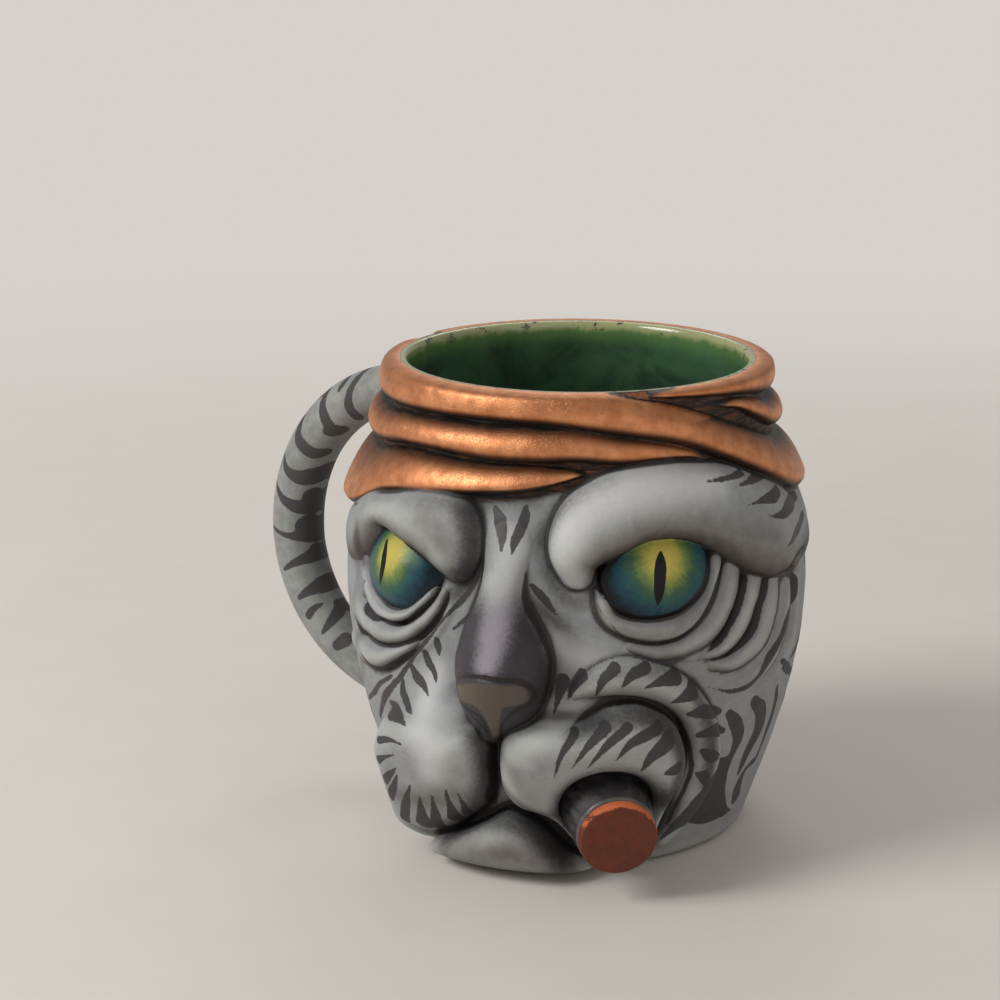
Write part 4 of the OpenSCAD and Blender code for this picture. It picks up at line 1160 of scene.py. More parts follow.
# A hand-painted edge: a field in millimetres, roughened by bristle-fine noise and cut off softly
brushEdge, inner, outer = newGroup("brush edge", {"Field": 0.0, "Rough": 0.25, "Soft": 0.12}, ["Mask"])
bristle = maths(brushEdge, "SUBTRACT", noise(brushEdge, 1900.0, 3.0, 0.6), 0.5)
broad = maths(brushEdge, "SUBTRACT", noise(brushEdge, 420.0), 0.5)
wander = maths(brushEdge, "ADD", bristle, broad)
shifted = maths(brushEdge, "MULTIPLY_ADD", wander, inner.outputs["Rough"], inner.outputs["Field"])
lowEdge = maths(brushEdge, "MULTIPLY", inner.outputs["Soft"], -1.0)
brushEdge.links.new(spread(brushEdge, shifted, lowEdge, inner.outputs["Soft"]), outer.inputs["Mask"])

# Fired clay under paint: pits, brush marks and slow changes of tone
clayGrain, inner, outer = newGroup("clay grain", {"Pits": 1.0}, ["Tone", "Height"])
slow = noise(clayGrain, 90.0, 3.0, 0.55)
middleTone = noise(clayGrain, 420.0, 4.0, 0.6, warp=0.4)
fine = noise(clayGrain, 2600.0, 2.0, 0.6)
mixed = maths(clayGrain, "MULTIPLY_ADD", slow, 0.5, maths(clayGrain, "MULTIPLY", middleTone, 0.5))
clayGrain.links.new(mixed, outer.inputs["Tone"])
pits = maths(clayGrain, "MULTIPLY", spread(clayGrain, fine, 0.3, 0.46), inner.outputs["Pits"])
clayGrain.links.new(maths(clayGrain, "MULTIPLY_ADD", middleTone, 0.6, pits), outer.inputs["Height"])


def painted(tree, name, rough, soft):
    # the mask of paint whose edge is where the named field is 0
    return use(tree, brushEdge, Field=attribute(tree, name), Rough=rough, Soft=soft)["Mask"]


greyTones = {
    "base": (143, 146, 148), "light": (157, 160, 162), "brushed": (190, 193, 190), "brownShade": (86, 76, 68),
    "deepBrownShade": (62, 53, 48), "pale": (214, 216, 218), "valley": (66, 62, 62), "smoke": (44, 42, 45),
    "hollow": (36, 33, 33), "ink": (55, 52, 55), "line": (38, 34, 34),
    "nose": (54, 51, 57), "noseLight": (72, 69, 76), "noseRidgeHighlight": (170, 166, 178), "noseUnder": (97, 87, 77),
    "scarfGround": (28, 23, 20), "scarfWorn": (112, 70, 47),
    "lipDark": (72, 46, 33), "lipRubbed": (140, 88, 60),
}


def greyPaint(name, satin=False):
    # matte grey over a dark wash, partly painted shade: pale drybrush and painted highlights on the crowns,
    # brown painted shade on the lower flanks, then the painted strokes
    material, tree, shader = newMaterial(name)
    grain = use(tree, clayGrain, Pits=0.7)
    tones = greyTones
    colour = blendColours(tree, spread(tree, grain["Tone"], 0.36, 0.64), tones["base"], tones["light"])
    valleys = attribute(tree, "valley")
    brushed = maths(tree, "MULTIPLY", valleys, -0.8)
    brushed = maths(tree, "MULTIPLY_ADD", noise(tree, 700.0, 3.0, 0.6), 0.5, brushed)
    colour = washed(tree, colour, spread(tree, brushed, 0.3, 1.0), 0.6, tones["brushed"])
    # brown painted shade on the lower flanks and under the brown strokes, partly the mug's own brown paint, and
    # deeper brown painted shade on the lowest flanks
    body = spread(tree, attribute(tree, "crest"), 0.0, 0.35)
    lower = maths(tree, "MULTIPLY", spread(tree, attribute(tree, "flank"), 0.1, -0.75), body)
    lower = maths(tree, "MAXIMUM", lower, attribute(tree, "brownShade"))
    patchy = spread(tree, noise(tree, 320.0), 0.2, 0.7, 0.7, 1.0)
    colour = washed(tree, colour, maths(tree, "MULTIPLY", lower, patchy), 0.8, tones["brownShade"])
    lowest = maths(tree, "MULTIPLY", spread(tree, attribute(tree, "flank"), -0.45, -0.95), body)
    colour = washed(tree, colour, lowest, 0.8, tones["deepBrownShade"])
    # painted highlights, partly the mug's own pale drybrush
    colour = washed(tree, colour, attribute(tree, "pale"), 0.78, tones["pale"])
    # painted shade in the wide valleys, partly the mug's own dark wash
    colour = washed(tree, colour, spread(tree, valleys, 0.5, 3.0), 0.62, tones["valley"])
    # nose: dark plum, a painted highlight along its ridge, and a brown patch below in a black surround
    noseMask = strayed(tree, attribute(tree, "nose"), noise(tree, 1300.0, 3.0, 0.6), 0.4)
    noseColour = blendColours(tree, spread(tree, grain["Tone"], 0.3, 0.7), tones["nose"], tones["noseLight"])
    ridge = strayed(tree, attribute(tree, "shine"), noise(tree, 1500.0, 3.0, 0.6), 0.5)
    noseColour = washed(tree, noseColour, spread(tree, ridge, 0.05, 1.0), 0.85, tones["noseRidgeHighlight"])
    colour = blendColours(tree, spread(tree, noseMask, 0.1, 0.95), colour, noseColour)
    # painted shade and shadow, partly the mug's own airbrushed charcoal
    smokyShade = strayed(tree, attribute(tree, "smoke"), noise(tree, 1100.0, 4.0, 0.65), 0.4)
    colour = washed(tree, colour, spread(tree, smokyShade, 0.0, 0.85), 0.92, tones["smoke"])
    # painted shade in the narrow hollows and creases, partly the mug's own dark wash
    colour = washed(tree, colour, spread(tree, attribute(tree, "hollow"), 0.1, 0.5), 0.85, tones["hollow"])
    colour = washed(tree, colour, painted(tree, "ink", 0.45, 0.1), 0.93, tones["ink"])
    colour = washed(tree, colour, painted(tree, "line", 0.3, 0.14), 0.95, tones["line"])
    colour = blendColours(tree, painted(tree, "under", 0.5, 0.25), colour, tones["noseUnder"])
    # the scarf's dark ground, with painted shade below it, and the rubbed top edge
    streaks = noise(tree, 420.0, 4.0, 0.7, stretch=(0.4, 0.4, 3.0), warp=0.3)
    dark = blendColours(tree, spread(tree, streaks, 0.42, 0.72), tones["scarfGround"], tones["scarfWorn"])
    colour = blendColours(tree, attribute(tree, "cloth"), colour, dark)
    rubbed = spread(tree, grain["Tone"], 0.35, 0.6)
    rubbed = blendColours(tree, rubbed, tones["lipDark"], tones["lipRubbed"])
    colour = blendColours(tree, attribute(tree, "lip"), colour, rubbed)
    rough = spread(tree, grain["Tone"], 0.3, 0.7, 0.5, 0.68)
    fill(tree, shader, {"Base Color": colour, "Roughness": rough, "Specular IOR Level": 0.35})
    if satin:
        fill(tree, shader, {"Coat Weight": 0.12, "Coat Roughness": 0.35})
    addBump(tree, shader, grain["Height"], 0.35, 0.00018)
    return material


copperTones = {
    "dull": (200, 130, 87), "bright": (228, 157, 108), "tarnish": (110, 68, 48), "shoulder": (96, 59, 41),
    "lower": (66, 41, 30), "ground": (26, 22, 19), "worn": (58, 40, 30),
}


def copperPaint():
    # copper rubbed over black: the crowns catch it and the grooves stay black; painted shade darkens each
    # roll's shoulders and lower flank
    material, tree, shader = newMaterial("copper rubbed scarf")
    grain = use(tree, clayGrain, Pits=1.0)
    tones = copperTones
    side = attribute(tree, "flank")
    streaks = noise(tree, 500.0, 4.0, 0.7, stretch=(0.5, 0.5, 2.6), warp=0.3)
    stray = maths(tree, "MULTIPLY", maths(tree, "SUBTRACT", streaks, 0.5), 0.25)
    lowerEdge = spread(tree, maths(tree, "ADD", side, stray), -0.95, -0.5)
    upperEdge = spread(tree, maths(tree, "SUBTRACT", side, stray), 0.95, 0.65)
    taper = spread(tree, maths(tree, "ADD", attribute(tree, "crest"), stray), 0.1, 0.3)
    rubbed = maths(tree, "MULTIPLY", maths(tree, "MULTIPLY", lowerEdge, upperEdge), taper)
    cloud = spread(tree, noise(tree, 240.0, 4.0, 0.65), 0.32, 0.68)
    warm = blendColours(tree, cloud, tones["dull"], tones["bright"])
    tarnish = spread(tree, noise(tree, 900.0, 3.0, 0.6), 0.62, 0.78, 0.0, 0.45)
    warm = blendColours(tree, tarnish, warm, tones["tarnish"])
    # painted shade: the copper darkens away from each roll's crest, and more on its lower flank
    shadeFromCrest = maths(tree, "ABSOLUTE", maths(tree, "ADD", side, 0.05))
    warm = blendColours(tree, spread(tree, shadeFromCrest, 0.2, 0.9, 0.0, 0.75), warm, tones["shoulder"])
    warm = blendColours(tree, spread(tree, side, -0.1, -0.8, 0.0, 0.75), warm, tones["lower"])
    dark = blendColours(tree, spread(tree, streaks, 0.4, 0.7), tones["ground"], tones["worn"])
    fill(tree, shader, {
        "Base Color": blendColours(tree, rubbed, dark, warm),
        "Metallic": spread(tree, rubbed, 0.0, 1.0, 0.1, 0.8),
        "Roughness": spread(tree, grain["Tone"], 0.3, 0.7, 0.38, 0.5),
    })
    addBump(tree, shader, grain["Height"], 0.28, 0.0002)
    return material


eyeTones = {
    "slit": (14, 13, 15), "outline": (17, 16, 18), "orange": (206, 140, 76),
    "glow": [  # from the middle of the yellow, 0, to the rim, 1
        (0.05, (206, 186, 90)), (0.24, (186, 178, 84)), (0.4, (120, 138, 74)), (0.54, (66, 100, 74)),
        (0.7, (40, 84, 90)), (0.86, (26, 62, 78)), (1.0, (14, 32, 42)),
    ],
}


def eyePaint():
    # glassy eye: yellow round the slit, green, teal and navy towards the rim, with radial streaks
    material, tree, shader = newMaterial("glazed eye")
    glow = attribute(tree, "glow")
    way = {"X": attribute(tree, "rayX"), "Y": attribute(tree, "rayY"), "Z": maths(tree, "MULTIPLY", glow, 0.6)}
    way = put(tree, "CombineXYZ", way).outputs[0]
    streaks = put(tree, "TexNoise", {"Vector": way, "Scale": 7.0, "Detail": 4.0, "Roughness": 0.7}).outputs[0]
    depth = strayed(tree, strayed(tree, glow, streaks, 0.28), noise(tree, 380.0, 3.0, 0.6), 0.2)
    ramp = put(tree, "ValToRGB", {"Fac": depth})
    band = ramp.color_ramp
    while len(band.elements) < len(eyeTones["glow"]):
        band.elements.new(0.5)
    for element, (place, colour) in zip(band.elements, eyeTones["glow"]):
        element.position = place
        element.color = tone(*colour)
    orange = maths(tree, "MULTIPLY", spread(tree, streaks, 0.56, 0.7), spread(tree, glow, 0.55, 0.2))
    colour = washed(tree, ramp.outputs[0], orange, 0.6, eyeTones["orange"])
    colour = blendColours(tree, painted(tree, "rim", 0.16, 0.16), eyeTones["outline"], colour)
    colour = blendColours(tree, painted(tree, "slit", 0.12, 0.06), colour, eyeTones["slit"])
    fill(tree, shader, {
        "Base Color": colour, "Roughness": 0.4, "Specular IOR Level": 0.25,
        "Coat Weight": 0.05, "Coat Roughness": 0.2,
    })
    addBump(tree, shader, noise(tree, 900.0), 0.08, 0.0001)
    return material


glazeTones = {
    "pooled": (54, 76, 58), "green": (76, 112, 80), "drip": (52, 112, 92), "thin": (96, 132, 78),
    "lip": (176, 178, 128), "speck": (48, 36, 30), "brim": (74, 52, 40),
}


def glazePaint():
    # green glaze: pooled dark low down, breaking to yellow-green and bare brown specks at the lip
    material, tree, shader = newMaterial("green glaze")
    tones = glazeTones
    rise = attribute(tree, "rise")
    cloud = noise(tree, 60.0, 4.0, 0.6, warp=0.6)
    drips = noise(tree, 300.0, 3.0, 0.6, stretch=(1.0, 1.0, 0.3))
    body = blendColours(tree, spread(tree, cloud, 0.35, 0.65), tones["pooled"], tones["green"])
    body = blendColours(tree, spread(tree, drips, 0.52, 0.75, 0.0, 0.45), body, tones["drip"])
    near = strayed(tree, rise, drips, 2.6)
    colour = blendColours(tree, spread(tree, near, 100.0, 105.8), body, tones["thin"])
    colour = blendColours(tree, spread(tree, near, 104.4, 106.0, 0.0, 0.85), colour, tones["lip"])
    bare = spread(tree, noise(tree, 330.0, 4.0, 0.7), 0.57, 0.66)
    specks = maths(tree, "MULTIPLY", bare, spread(tree, rise, 104.2, 106.2))
    colour = blendColours(tree, specks, colour, tones["speck"])
    colour = blendColours(tree, painted(tree, "brim", 0.9, 0.3), colour, tones["brim"])
    fill(tree, shader, {"Base Color": colour, "Roughness": 0.16, "Coat Weight": 0.4, "Coat Roughness": 0.06})
    addBump(tree, shader, cloud, 0.12, 0.0006)
    return material


tailTones = {"base": (132, 135, 133), "light": (158, 161, 158), "smoke": (72, 68, 67), "ink": (60, 57, 59)}


def tailPaint():
    # matte grey, with painted shade at the roots and along the inside of the bend, and the painted stripes
    material, tree, shader = newMaterial("striped tail")
    grain = use(tree, clayGrain, Pits=0.6)
    patches = spread(tree, grain["Tone"], 0.35, 0.65)
    colour = blendColours(tree, patches, tailTones["base"], tailTones["light"])
    # painted shade at the roots and inside the bend
    colour = washed(tree, colour, attribute(tree, "smoke"), 0.75, tailTones["smoke"])
    colour = washed(tree, colour, painted(tree, "ink", 0.45, 0.14), 0.93, tailTones["ink"])
    rough = spread(tree, grain["Tone"], 0.3, 0.7, 0.5, 0.66)
    fill(tree, shader, {"Base Color": colour, "Roughness": rough, "Specular IOR Level": 0.35})
    addBump(tree, shader, grain["Height"], 0.3, 0.00016)
    return material


wrapperTones = {"leaf": (45, 44, 46), "vein": (84, 81, 82), "worn": (112, 106, 102)}


def wrapperPaint():
    # dark satin leaf with veins drawn out along the barrel, and a paler painted highlight round its rounded end
    material, tree, shader = newMaterial("dark cigar wrapper")
    grain = use(tree, clayGrain, Pits=0.8)
    veins = noise(tree, 260.0, 4.0, 0.65, stretch=(0.4, 0.4, 2.2))
    colour = blendColours(tree, spread(tree, veins, 0.4, 0.68), wrapperTones["leaf"], wrapperTones["vein"])
    # a painted highlight round the barrel's rounded end
    colour = washed(tree, colour, painted(tree, "worn", 1.0, 0.3), 0.5, wrapperTones["worn"])
    rough = spread(tree, veins, 0.3, 0.7, 0.26, 0.42)
    fill(tree, shader, {"Base Color": colour, "Roughness": rough, "Coat Weight": 0.25, "Coat Roughness": 0.2})
    addBump(tree, shader, grain["Height"], 0.35, 0.0002)
    return material


emberTones = {"brick": (92, 40, 20), "light": (118, 52, 26), "chip": (208, 108, 60), "speck": (44, 24, 18)}


def emberPaint():
    # brick-red end with brighter chips along its upper edge and fine dark specks
    material, tree, shader = newMaterial("red cigar end")
    grain = use(tree, clayGrain, Pits=1.0)
    patches = spread(tree, grain["Tone"], 0.35, 0.65)
    colour = blendColours(tree, patches, emberTones["brick"], emberTones["light"])
    colour = blendColours(tree, painted(tree, "chip", 2.2, 0.2), colour, emberTones["chip"])
    specks = spread(tree, noise(tree, 1500.0, 3.0, 0.7), 0.66, 0.74)
    colour = washed(tree, colour, specks, 0.7, emberTones["speck"])
    fill(tree, shader, {"Base Color": colour, "Roughness": spread(tree, grain["Tone"], 0.3, 0.7, 0.55, 0.75)})
    addBump(tree, shader, grain["Height"], 0.6, 0.0003)
    return material


greyClay, noseClay, copper = greyPaint("grey painted clay"), greyPaint("painted nose", True), copperPaint()
eyeGlass, greenGlaze, tailClay = eyePaint(), glazePaint(), tailPaint()
wrapperClay, emberClay = wrapperPaint(), emberPaint()
print("materials made:", len(bpy.data.materials))

# Pieces cut from the head's surface

greyNodes = {
    "brow_left": "browLeft", "brow_right": "browRight", "lid_left": "lidLeft", "lid_right": "lidRight",
    "fold_left_upper": "foldLeftUpper", "fold_left_middle": "foldLeftMiddle",
    "fold_left_lower": "foldLeftLower",
    "fold_right_upper": "foldRightUpper", "fold_right_lower": "foldRightLower",
    "muzzle_left": "muzzleLeft", "muzzle_right": "muzzleRight", "cheek_left": "cheekLeft", "chin": "chinPad",
}
for node, name in greyNodes.items():
    clayPiece(node, name, greyClay, "grey_clay")
for node, name in {"nose_bridge": "noseBridge", "nose_tip": "noseTip"}.items():
    clayPiece(node, name, noseClay, "nose_paint")
scarfNodes = {
    "scarf_top_wrap": "scarfTopWrap", "scarf_middle_roll": "scarfMiddleRoll",
    "scarf_low_roll": "scarfLowRoll",
    "scarf_back_top_roll": "scarfBackTopRoll", "scarf_back_middle_roll": "scarfBackMiddleRoll",
}
for node, name in scarfNodes.items():
    clayPiece(node, name, copper, "scarf_copper")

eyeLooks = {  # pixels: the slit with its width, the middle of the yellow; millimetres: how far the glow goes
    "eye_left": {"name": "eyeLeft",
                 "slit": [(661, 553, 3), (661, 562, 9), (660, 580, 11), (659, 596, 8), (658, 605, 2)],
                 "glow": (663, 557), "reach": 9.6, "stretch": 0.8, "outline": 1.3},
    "eye_right": {"name": "eyeRight",
                  "slit": [(387, 540, 2), (385, 550, 4), (383, 565, 5), (381, 577, 4), (380, 584, 1)],
                  "glow": (391, 552), "reach": 9.0, "stretch": 0.9, "outline": 0.6},
}
eyeGlow = {"below": 0.68, "above": 0.8, "least": 0.3}  # how far it is stretched, and where its rays start
for node, look in eyeLooks.items():
    slit = strokeField([look["slit"]])
    glowAngle, glowHeight = fromPhoto([look["glow"]])[0, :2]
    gx, gz = (gridA - glowAngle) * np.radians(wallR), gridZ - glowHeight
    glow = np.hypot(gx * look["stretch"], gz * np.where(gz < 0, eyeGlow["below"], eyeGlow["above"]))
    span = np.maximum(glow, eyeGlow["least"])
    rays = {"rayX": gx / span, "rayY": gz / span, "glow": glow / look["reach"]}
    rim = insideOutline(clays[node]["outline"]) - look["outline"]
    clayPiece(node, look["name"], eyeGlass, "eye_glaze", slit=slit, rim=rim, **rays)
print("head pieces made:", len(clays))

# The thrown cup: its outside follows the head's surface between the pieces and dips under them

cupRows = {  # degrees and millimetres
    "from": -97.0,  # the finer columns of the front, from here to there
    "to": 104.0,
    "faceStep": 0.56,
    "backStep": 2.0,
    "rise": 0.6,
    "under": 0.02,  # how far the wall stays below the pieces on it
    "footRing": 6.0,
    "footMiddle": 10.0,
    "floorMiddle": 12.0,
    "wallRings": 9,
}


def cupPiece():
    # rings from the middle of the foot up the outside, over the lip and down to the middle of the floor:
    # the outside is the head's surface less the pieces on it, and the lip and the floor's corner are
    # quarter circles
    start, stop = cupRows["from"], cupRows["to"]
    face = np.arange(start, stop, cupRows["faceStep"])
    back = np.linspace(stop, start + 360, int((360 + start - stop) / cupRows["backStep"]))
    turn = np.concatenate([face, back[:-1]])
    turn = np.where(turn > angles[-1], turn - 360, turn)
    rise = np.linspace(0, cup["height"], int(cup["height"] / cupRows["rise"]))
    a, z = np.meshgrid(turn, rise)
    covered = np.max([fields[node] for node in clays], axis=0)
    bare = np.maximum(lift - np.clip(covered, 0, None), ground)
    surface = np.minimum(lift, bare) - cupRows["under"] * (covered > 0)
    outside = onWall(a, wallRadius(z) + sampled(surface, a, z), z)
    lip, fillet, high = cup["lip"], cup["floorFillet"], cup["height"] - cup["lip"]
    lipR = insideRadius(high)
    over = [(lipR + lip * (1 - np.sin(t)), cup["height"] - lip * (1 - np.cos(np.pi / 2 - t)))
            for t in np.radians([60, 30, 0])]
    lowest = cup["floor"] + fillet
    wall = [(insideRadius(up), up) for up in np.linspace(high, lowest, cupRows["wallRings"])[1:]]
    corner = [(insideRadius(lowest) - fillet * (1 - np.cos(t)), lowest - fillet * np.sin(t))
              for t in np.radians([30, 60, 90])]
    profile = [*over, *wall, *corner, (cupRows["floorMiddle"], cup["floor"])]
    foot = [(cupRows["footMiddle"], 0.0), (cup["foot"] - cupRows["footRing"], 0.0)]
    level = np.ones(turn.shape)
    inside = np.stack([onWall(turn, level * float(r), level * float(up)) for r, up in profile])
    foot = np.stack([onWall(turn, level * r, level * up) for r, up in foot])
    rings = np.concatenate([foot, outside, inside])
    loft, faces = closedLoft(rings)
    normal = surfaceNormals(rings, True)
    normal[len(foot):len(foot) + len(rise)] = sampled(normals, a, z)
    normal[:len(foot)] = (0, 0, -1)
    normal = np.concatenate([normal.reshape(-1, 3), [(0, 0, -1), (0, 0, 1)]])
    before, after = len(foot) * len(turn), len(inside) * len(turn) + 2
    values = {}
    for key, field in headFields.items():
        plain = unpainted if key in ("ink", "line", "under") else 0.0
        low, high = np.full(before, plain), np.full(after, plain)
        values[key] = np.concatenate([low, sampled(field, a, z).ravel(), high])
    values["lip"][-after:] = 1.0
    piece = makePiece("cupWall", loft, faces, normal, **values)
    settle(piece, greyClay, "cup_wall")


cupPiece()
print("cup made")

glaze = {  # millimetres
    "thick": 0.6,
    "gap": 0.1,  # between the glaze and the cup
    "overLip": 0.32,  # how much tighter the glaze turns over the lip
    "below": 0.02,  # how far its top stays below the mug's
    "steps": 48,
    "columns": 240,
    "wave": 0.25,
    "waveCell": 12,
    "waveBelow": 3.0,  # how far below the lip the waves start
    "middle": 14.0,
}


def glazePiece():
    # a skin inside the cup that laps over the lip: one line down its face and back up behind it
    high = cup["height"] - cup["lip"]
    middleR = float(wallRadius(high)) - cup["lip"]
    lap = np.radians(np.linspace(78, 180, 10))
    lowest = cup["floor"] + cup["floorFillet"]
    down = high + (lowest - high) * np.linspace(0, 1, glaze["steps"])[1:]
    corner = np.radians(np.arange(15, 91, 15))

    def line(inset):
        # an arc over the lip, the wall's line, a quarter circle into the floor, all moved in by the inset
        r = cup["lip"] - glaze["overLip"] + inset
        over = [(middleR + r * np.cos(t), high + r * np.sin(t)) for t in lap]
        wall = [(float(insideRadius(z)) - inset, z) for z in down]
        bend, lowR = cup["floorFillet"] - inset, float(insideRadius(lowest)) - inset
        turn = [(lowR - bend * (1 - np.cos(t)), lowest - bend * np.sin(t)) for t in corner]
        return over + wall + turn + [(glaze["middle"], cup["floor"] + inset)]

    face, hidden = line(glaze["gap"] + glaze["thick"]), line(glaze["gap"])
    face = [(r, min(z, cup["height"] - glaze["below"])) for r, z in face]
    columns = glaze["columns"]
    turn = np.linspace(0, 360, columns, endpoint=False)
    profile = np.array(face[::-1] + hidden)
    wave = softNoise((len(profile), columns), glaze["waveCell"], 11)
    wave = wave * np.sin(np.pi * np.arange(columns) / columns) * glaze["wave"]
    wave[len(face):] = 0
    inner = (profile[:, 1] < high) & (profile[:, 1] > lowest)
    radius = profile[:, :1] + wave * inner[:, None] * (profile[:, 1:] < high - glaze["waveBelow"])
    # rings run from the middle of the floor up the face, over the lip and down behind
    rings = onWall(turn[None], radius, profile[:, 1:])
    loft, faces = closedLoft(rings[:, ::-1])
    rise, reach = np.repeat(profile[:, 1], columns), np.repeat(profile[:, 0], columns)
    brim = np.where(rise > high, reach - middleR + 0.1, unpainted)
    piece = makePiece("innerGlaze", loft, faces, rise=np.append(rise, [cup["floor"]] * 2),
                      brim=np.append(brim, [unpainted] * 2))
    settle(piece, greenGlaze, "inner_glaze")


glazePiece()
print("glaze made")

tail = {  # millimetres
    "thick": 12.6 * 0.985,
    "root": cup["tailRoot"],
    "reach": 36.0,  # from the wall to the middle of the bend
    "middle": 56.0,  # the height of the bend's middle
    "rise": 38.0,
    "drop": 35.0,
    "gap": 0.2,
    "rings": 170,
    "sides": 64,
    "flare": 1.8,  # how much it thickens at the roots
    "flareReach": 9.0,
    "uneven": 0.012,
    "unevenCell": 9,
    "stripePixels": 3.3,  # pixels for a millimetre of a stripe's width
    "stripeStep": 0.4,
    "smokeReach": 2.2,
}
tailStrokes = [  # pixels and widths, from the tail's outer edge inwards
    [(372, 366, 5), (366, 376, 6), (362, 388, 7), (363, 400, 9), (368, 412, 10)],
    [(353, 372, 4), (350, 379, 6), (348, 385, 4)],
    [(323, 391, 4), (321, 393, 4)],
    [(331, 388, 6), (332, 399, 8), (336, 409, 10), (340, 418, 11)],
    [(337, 421, 9), (345, 421, 12), (354, 421, 9)],
    [(303, 414, 7), (303, 428, 9), (309, 436, 11), (320, 441, 11), (334, 442, 8)],
    [(284, 451, 3), (292, 462, 8), (303, 467, 13), (317, 467, 17), (331, 464, 19)],
    [(276, 479, 3), (287, 492, 8), (301, 498, 13), (314, 497, 18), (327, 491, 21)],
    [(274, 524, 3), (290, 530, 6), (305, 530, 13), (316, 527, 21), (324, 520, 26)],
    [(284, 567, 3), (298, 559, 8), (312, 552, 13), (324, 548, 18)],
    [(299, 597, 4), (312, 590, 10), (325, 583, 17), (336, 580, 16)],
    [(309, 616, 7), (316, 611, 6), (323, 606, 3)],
    [(325, 636, 3), (334, 627, 8), (342, 615, 12), (344, 602, 10)],
    [(340, 649, 9), (350, 644, 13)],
]
tailTop = float(wallRadius(tail["middle"] + tail["rise"])) + tail["gap"]


def tailInk(middle, normal, side, radius, s, t):
    # millimetres inside the painted stripes. Each mark is met on the near side: s, its place along the
    # tail, is that of the nearest point of the centre line in the photograph, and t, its place round the
    # tail, is the arc sine of its distance from that line in radii, counted from the direction that faces
    # the camera.
    lineU, lineV, depth = toPhoto(middle)
    wayU, wayV = np.gradient(lineU), np.gradient(lineV)
    size = np.hypot(wayU, wayV)
    wide = radius * camera["lens"] / camera["sensor"] * camera["pixels"] / depth
    toCamera = np.array(camera["place"]) / mm - middle
    facing = np.arctan2(toCamera @ side, (toCamera * normal).sum(1))
    ink = np.full(s.shape, unpainted)
    for stroke in tailStrokes:
        marks = np.array(stroke, float)
        near = np.argmin(np.hypot(marks[:, :1] - lineU, marks[:, 1:2] - lineV), axis=1)
        off = (marks[:, 0] - lineU[near]) * wayV[near] - (marks[:, 1] - lineV[near]) * wayU[near]
        tNear = facing[near] + np.arcsin(np.clip(off / size[near] / wide[near], -0.98, 0.98))
        half = marks[:, 2] / tail["stripePixels"] / 2
        rows = np.column_stack([s[near, 0], tNear * tail["thick"] / 2, half])
        for sAt, tAt, half in smoothLine(rows, (1, 1), tail["stripeStep"]):
            ink = np.maximum(ink, max(half, painting["thinnest"]) - np.hypot(s - sAt, t - tAt))
    # the far side, which the photograph doesn't show, repeats the near one
    mirrored = ink[:, (tail["sides"] // 2 - np.arange(tail["sides"])) % tail["sides"]]
    return np.maximum(ink, mirrored)


def tailPiece():
    # a round section carried along half an ellipse that runs on into the wall at both roots, where it flares
    turn = np.radians(np.linspace(94, -96, tail["rings"]))
    high = np.where(turn > 0, tail["rise"], tail["drop"])
    heading = np.radians(cup["tailAngle"])
    out = np.array([np.sin(heading), -np.cos(heading), 0])
    side = np.array([np.cos(heading), np.sin(heading), 0])
    up = np.array([0.0, 0.0, 1.0])
    radial, z = tailTop + tail["reach"] * np.cos(turn), tail["middle"] + high * np.sin(turn)
    middle = radial[:, None] * out + z[:, None] * up
    normal = (high * np.cos(turn))[:, None] * out + (tail["reach"] * np.sin(turn))[:, None] * up
    normal /= np.linalg.norm(normal, axis=1, keepdims=True)
    radius = (tail["root"] + (tail["thick"] - tail["root"]) * np.clip(np.cos(turn), 0, 1)) / 2
    gap = np.clip(radial - wallRadius(z) - 1, 0, None)
    radius = radius + tail["flare"] * np.exp(-gap / tail["flareReach"] * 3)
    # round from the far side, so that no stripe on the near side crosses the seam
    around = np.radians(np.linspace(-90, 270, tail["sides"], endpoint=False))
    wave = softNoise((tail["rings"], tail["sides"]), tail["unevenCell"], 21)
    uneven = 1 + tail["uneven"] * wave * np.sin((around + np.pi / 2) / 2)
    spokes = (radius[:, None] * uneven)[..., None]
    rings = middle[:, None] + spokes * (
        np.cos(around)[None, :, None] * normal[:, None] + np.sin(around)[None, :, None] * side
    )
    loft, faces = closedLoft(rings)
    faces = [f[:, ::-1] for f in faces]  # outwards
    # the paint's own places, in millimetres along the tail and round it
    along = np.concatenate([[0], np.cumsum(np.linalg.norm(np.diff(middle, axis=0), axis=1))])
    s = np.broadcast_to(along[:, None], spokes.shape[:2])
    t = np.broadcast_to(around * tail["thick"] / 2, spokes.shape[:2])
    ink = tailInk(middle, normal, side, radius, s, t)
    # painted shade: darker at both roots, where the tail meets the wall, and round the inside of the bend
    rootShade = np.exp(-np.broadcast_to(gap[:, None], s.shape) / tail["smokeReach"])
    inside = ease(-np.cos(t / tail["thick"] * 2) - 0.1) * 0.5
    smoked = np.clip(rootShade + inside, 0, 1)
    piece = makePiece("tailHandle", loft, faces, ink=np.append(ink.ravel(), [unpainted] * 2),
                      smoke=np.append(smoked.ravel(), [1.0, 1.0]))
    settle(piece, tailClay, "tail_handle")


tailPiece()
print("tail made")


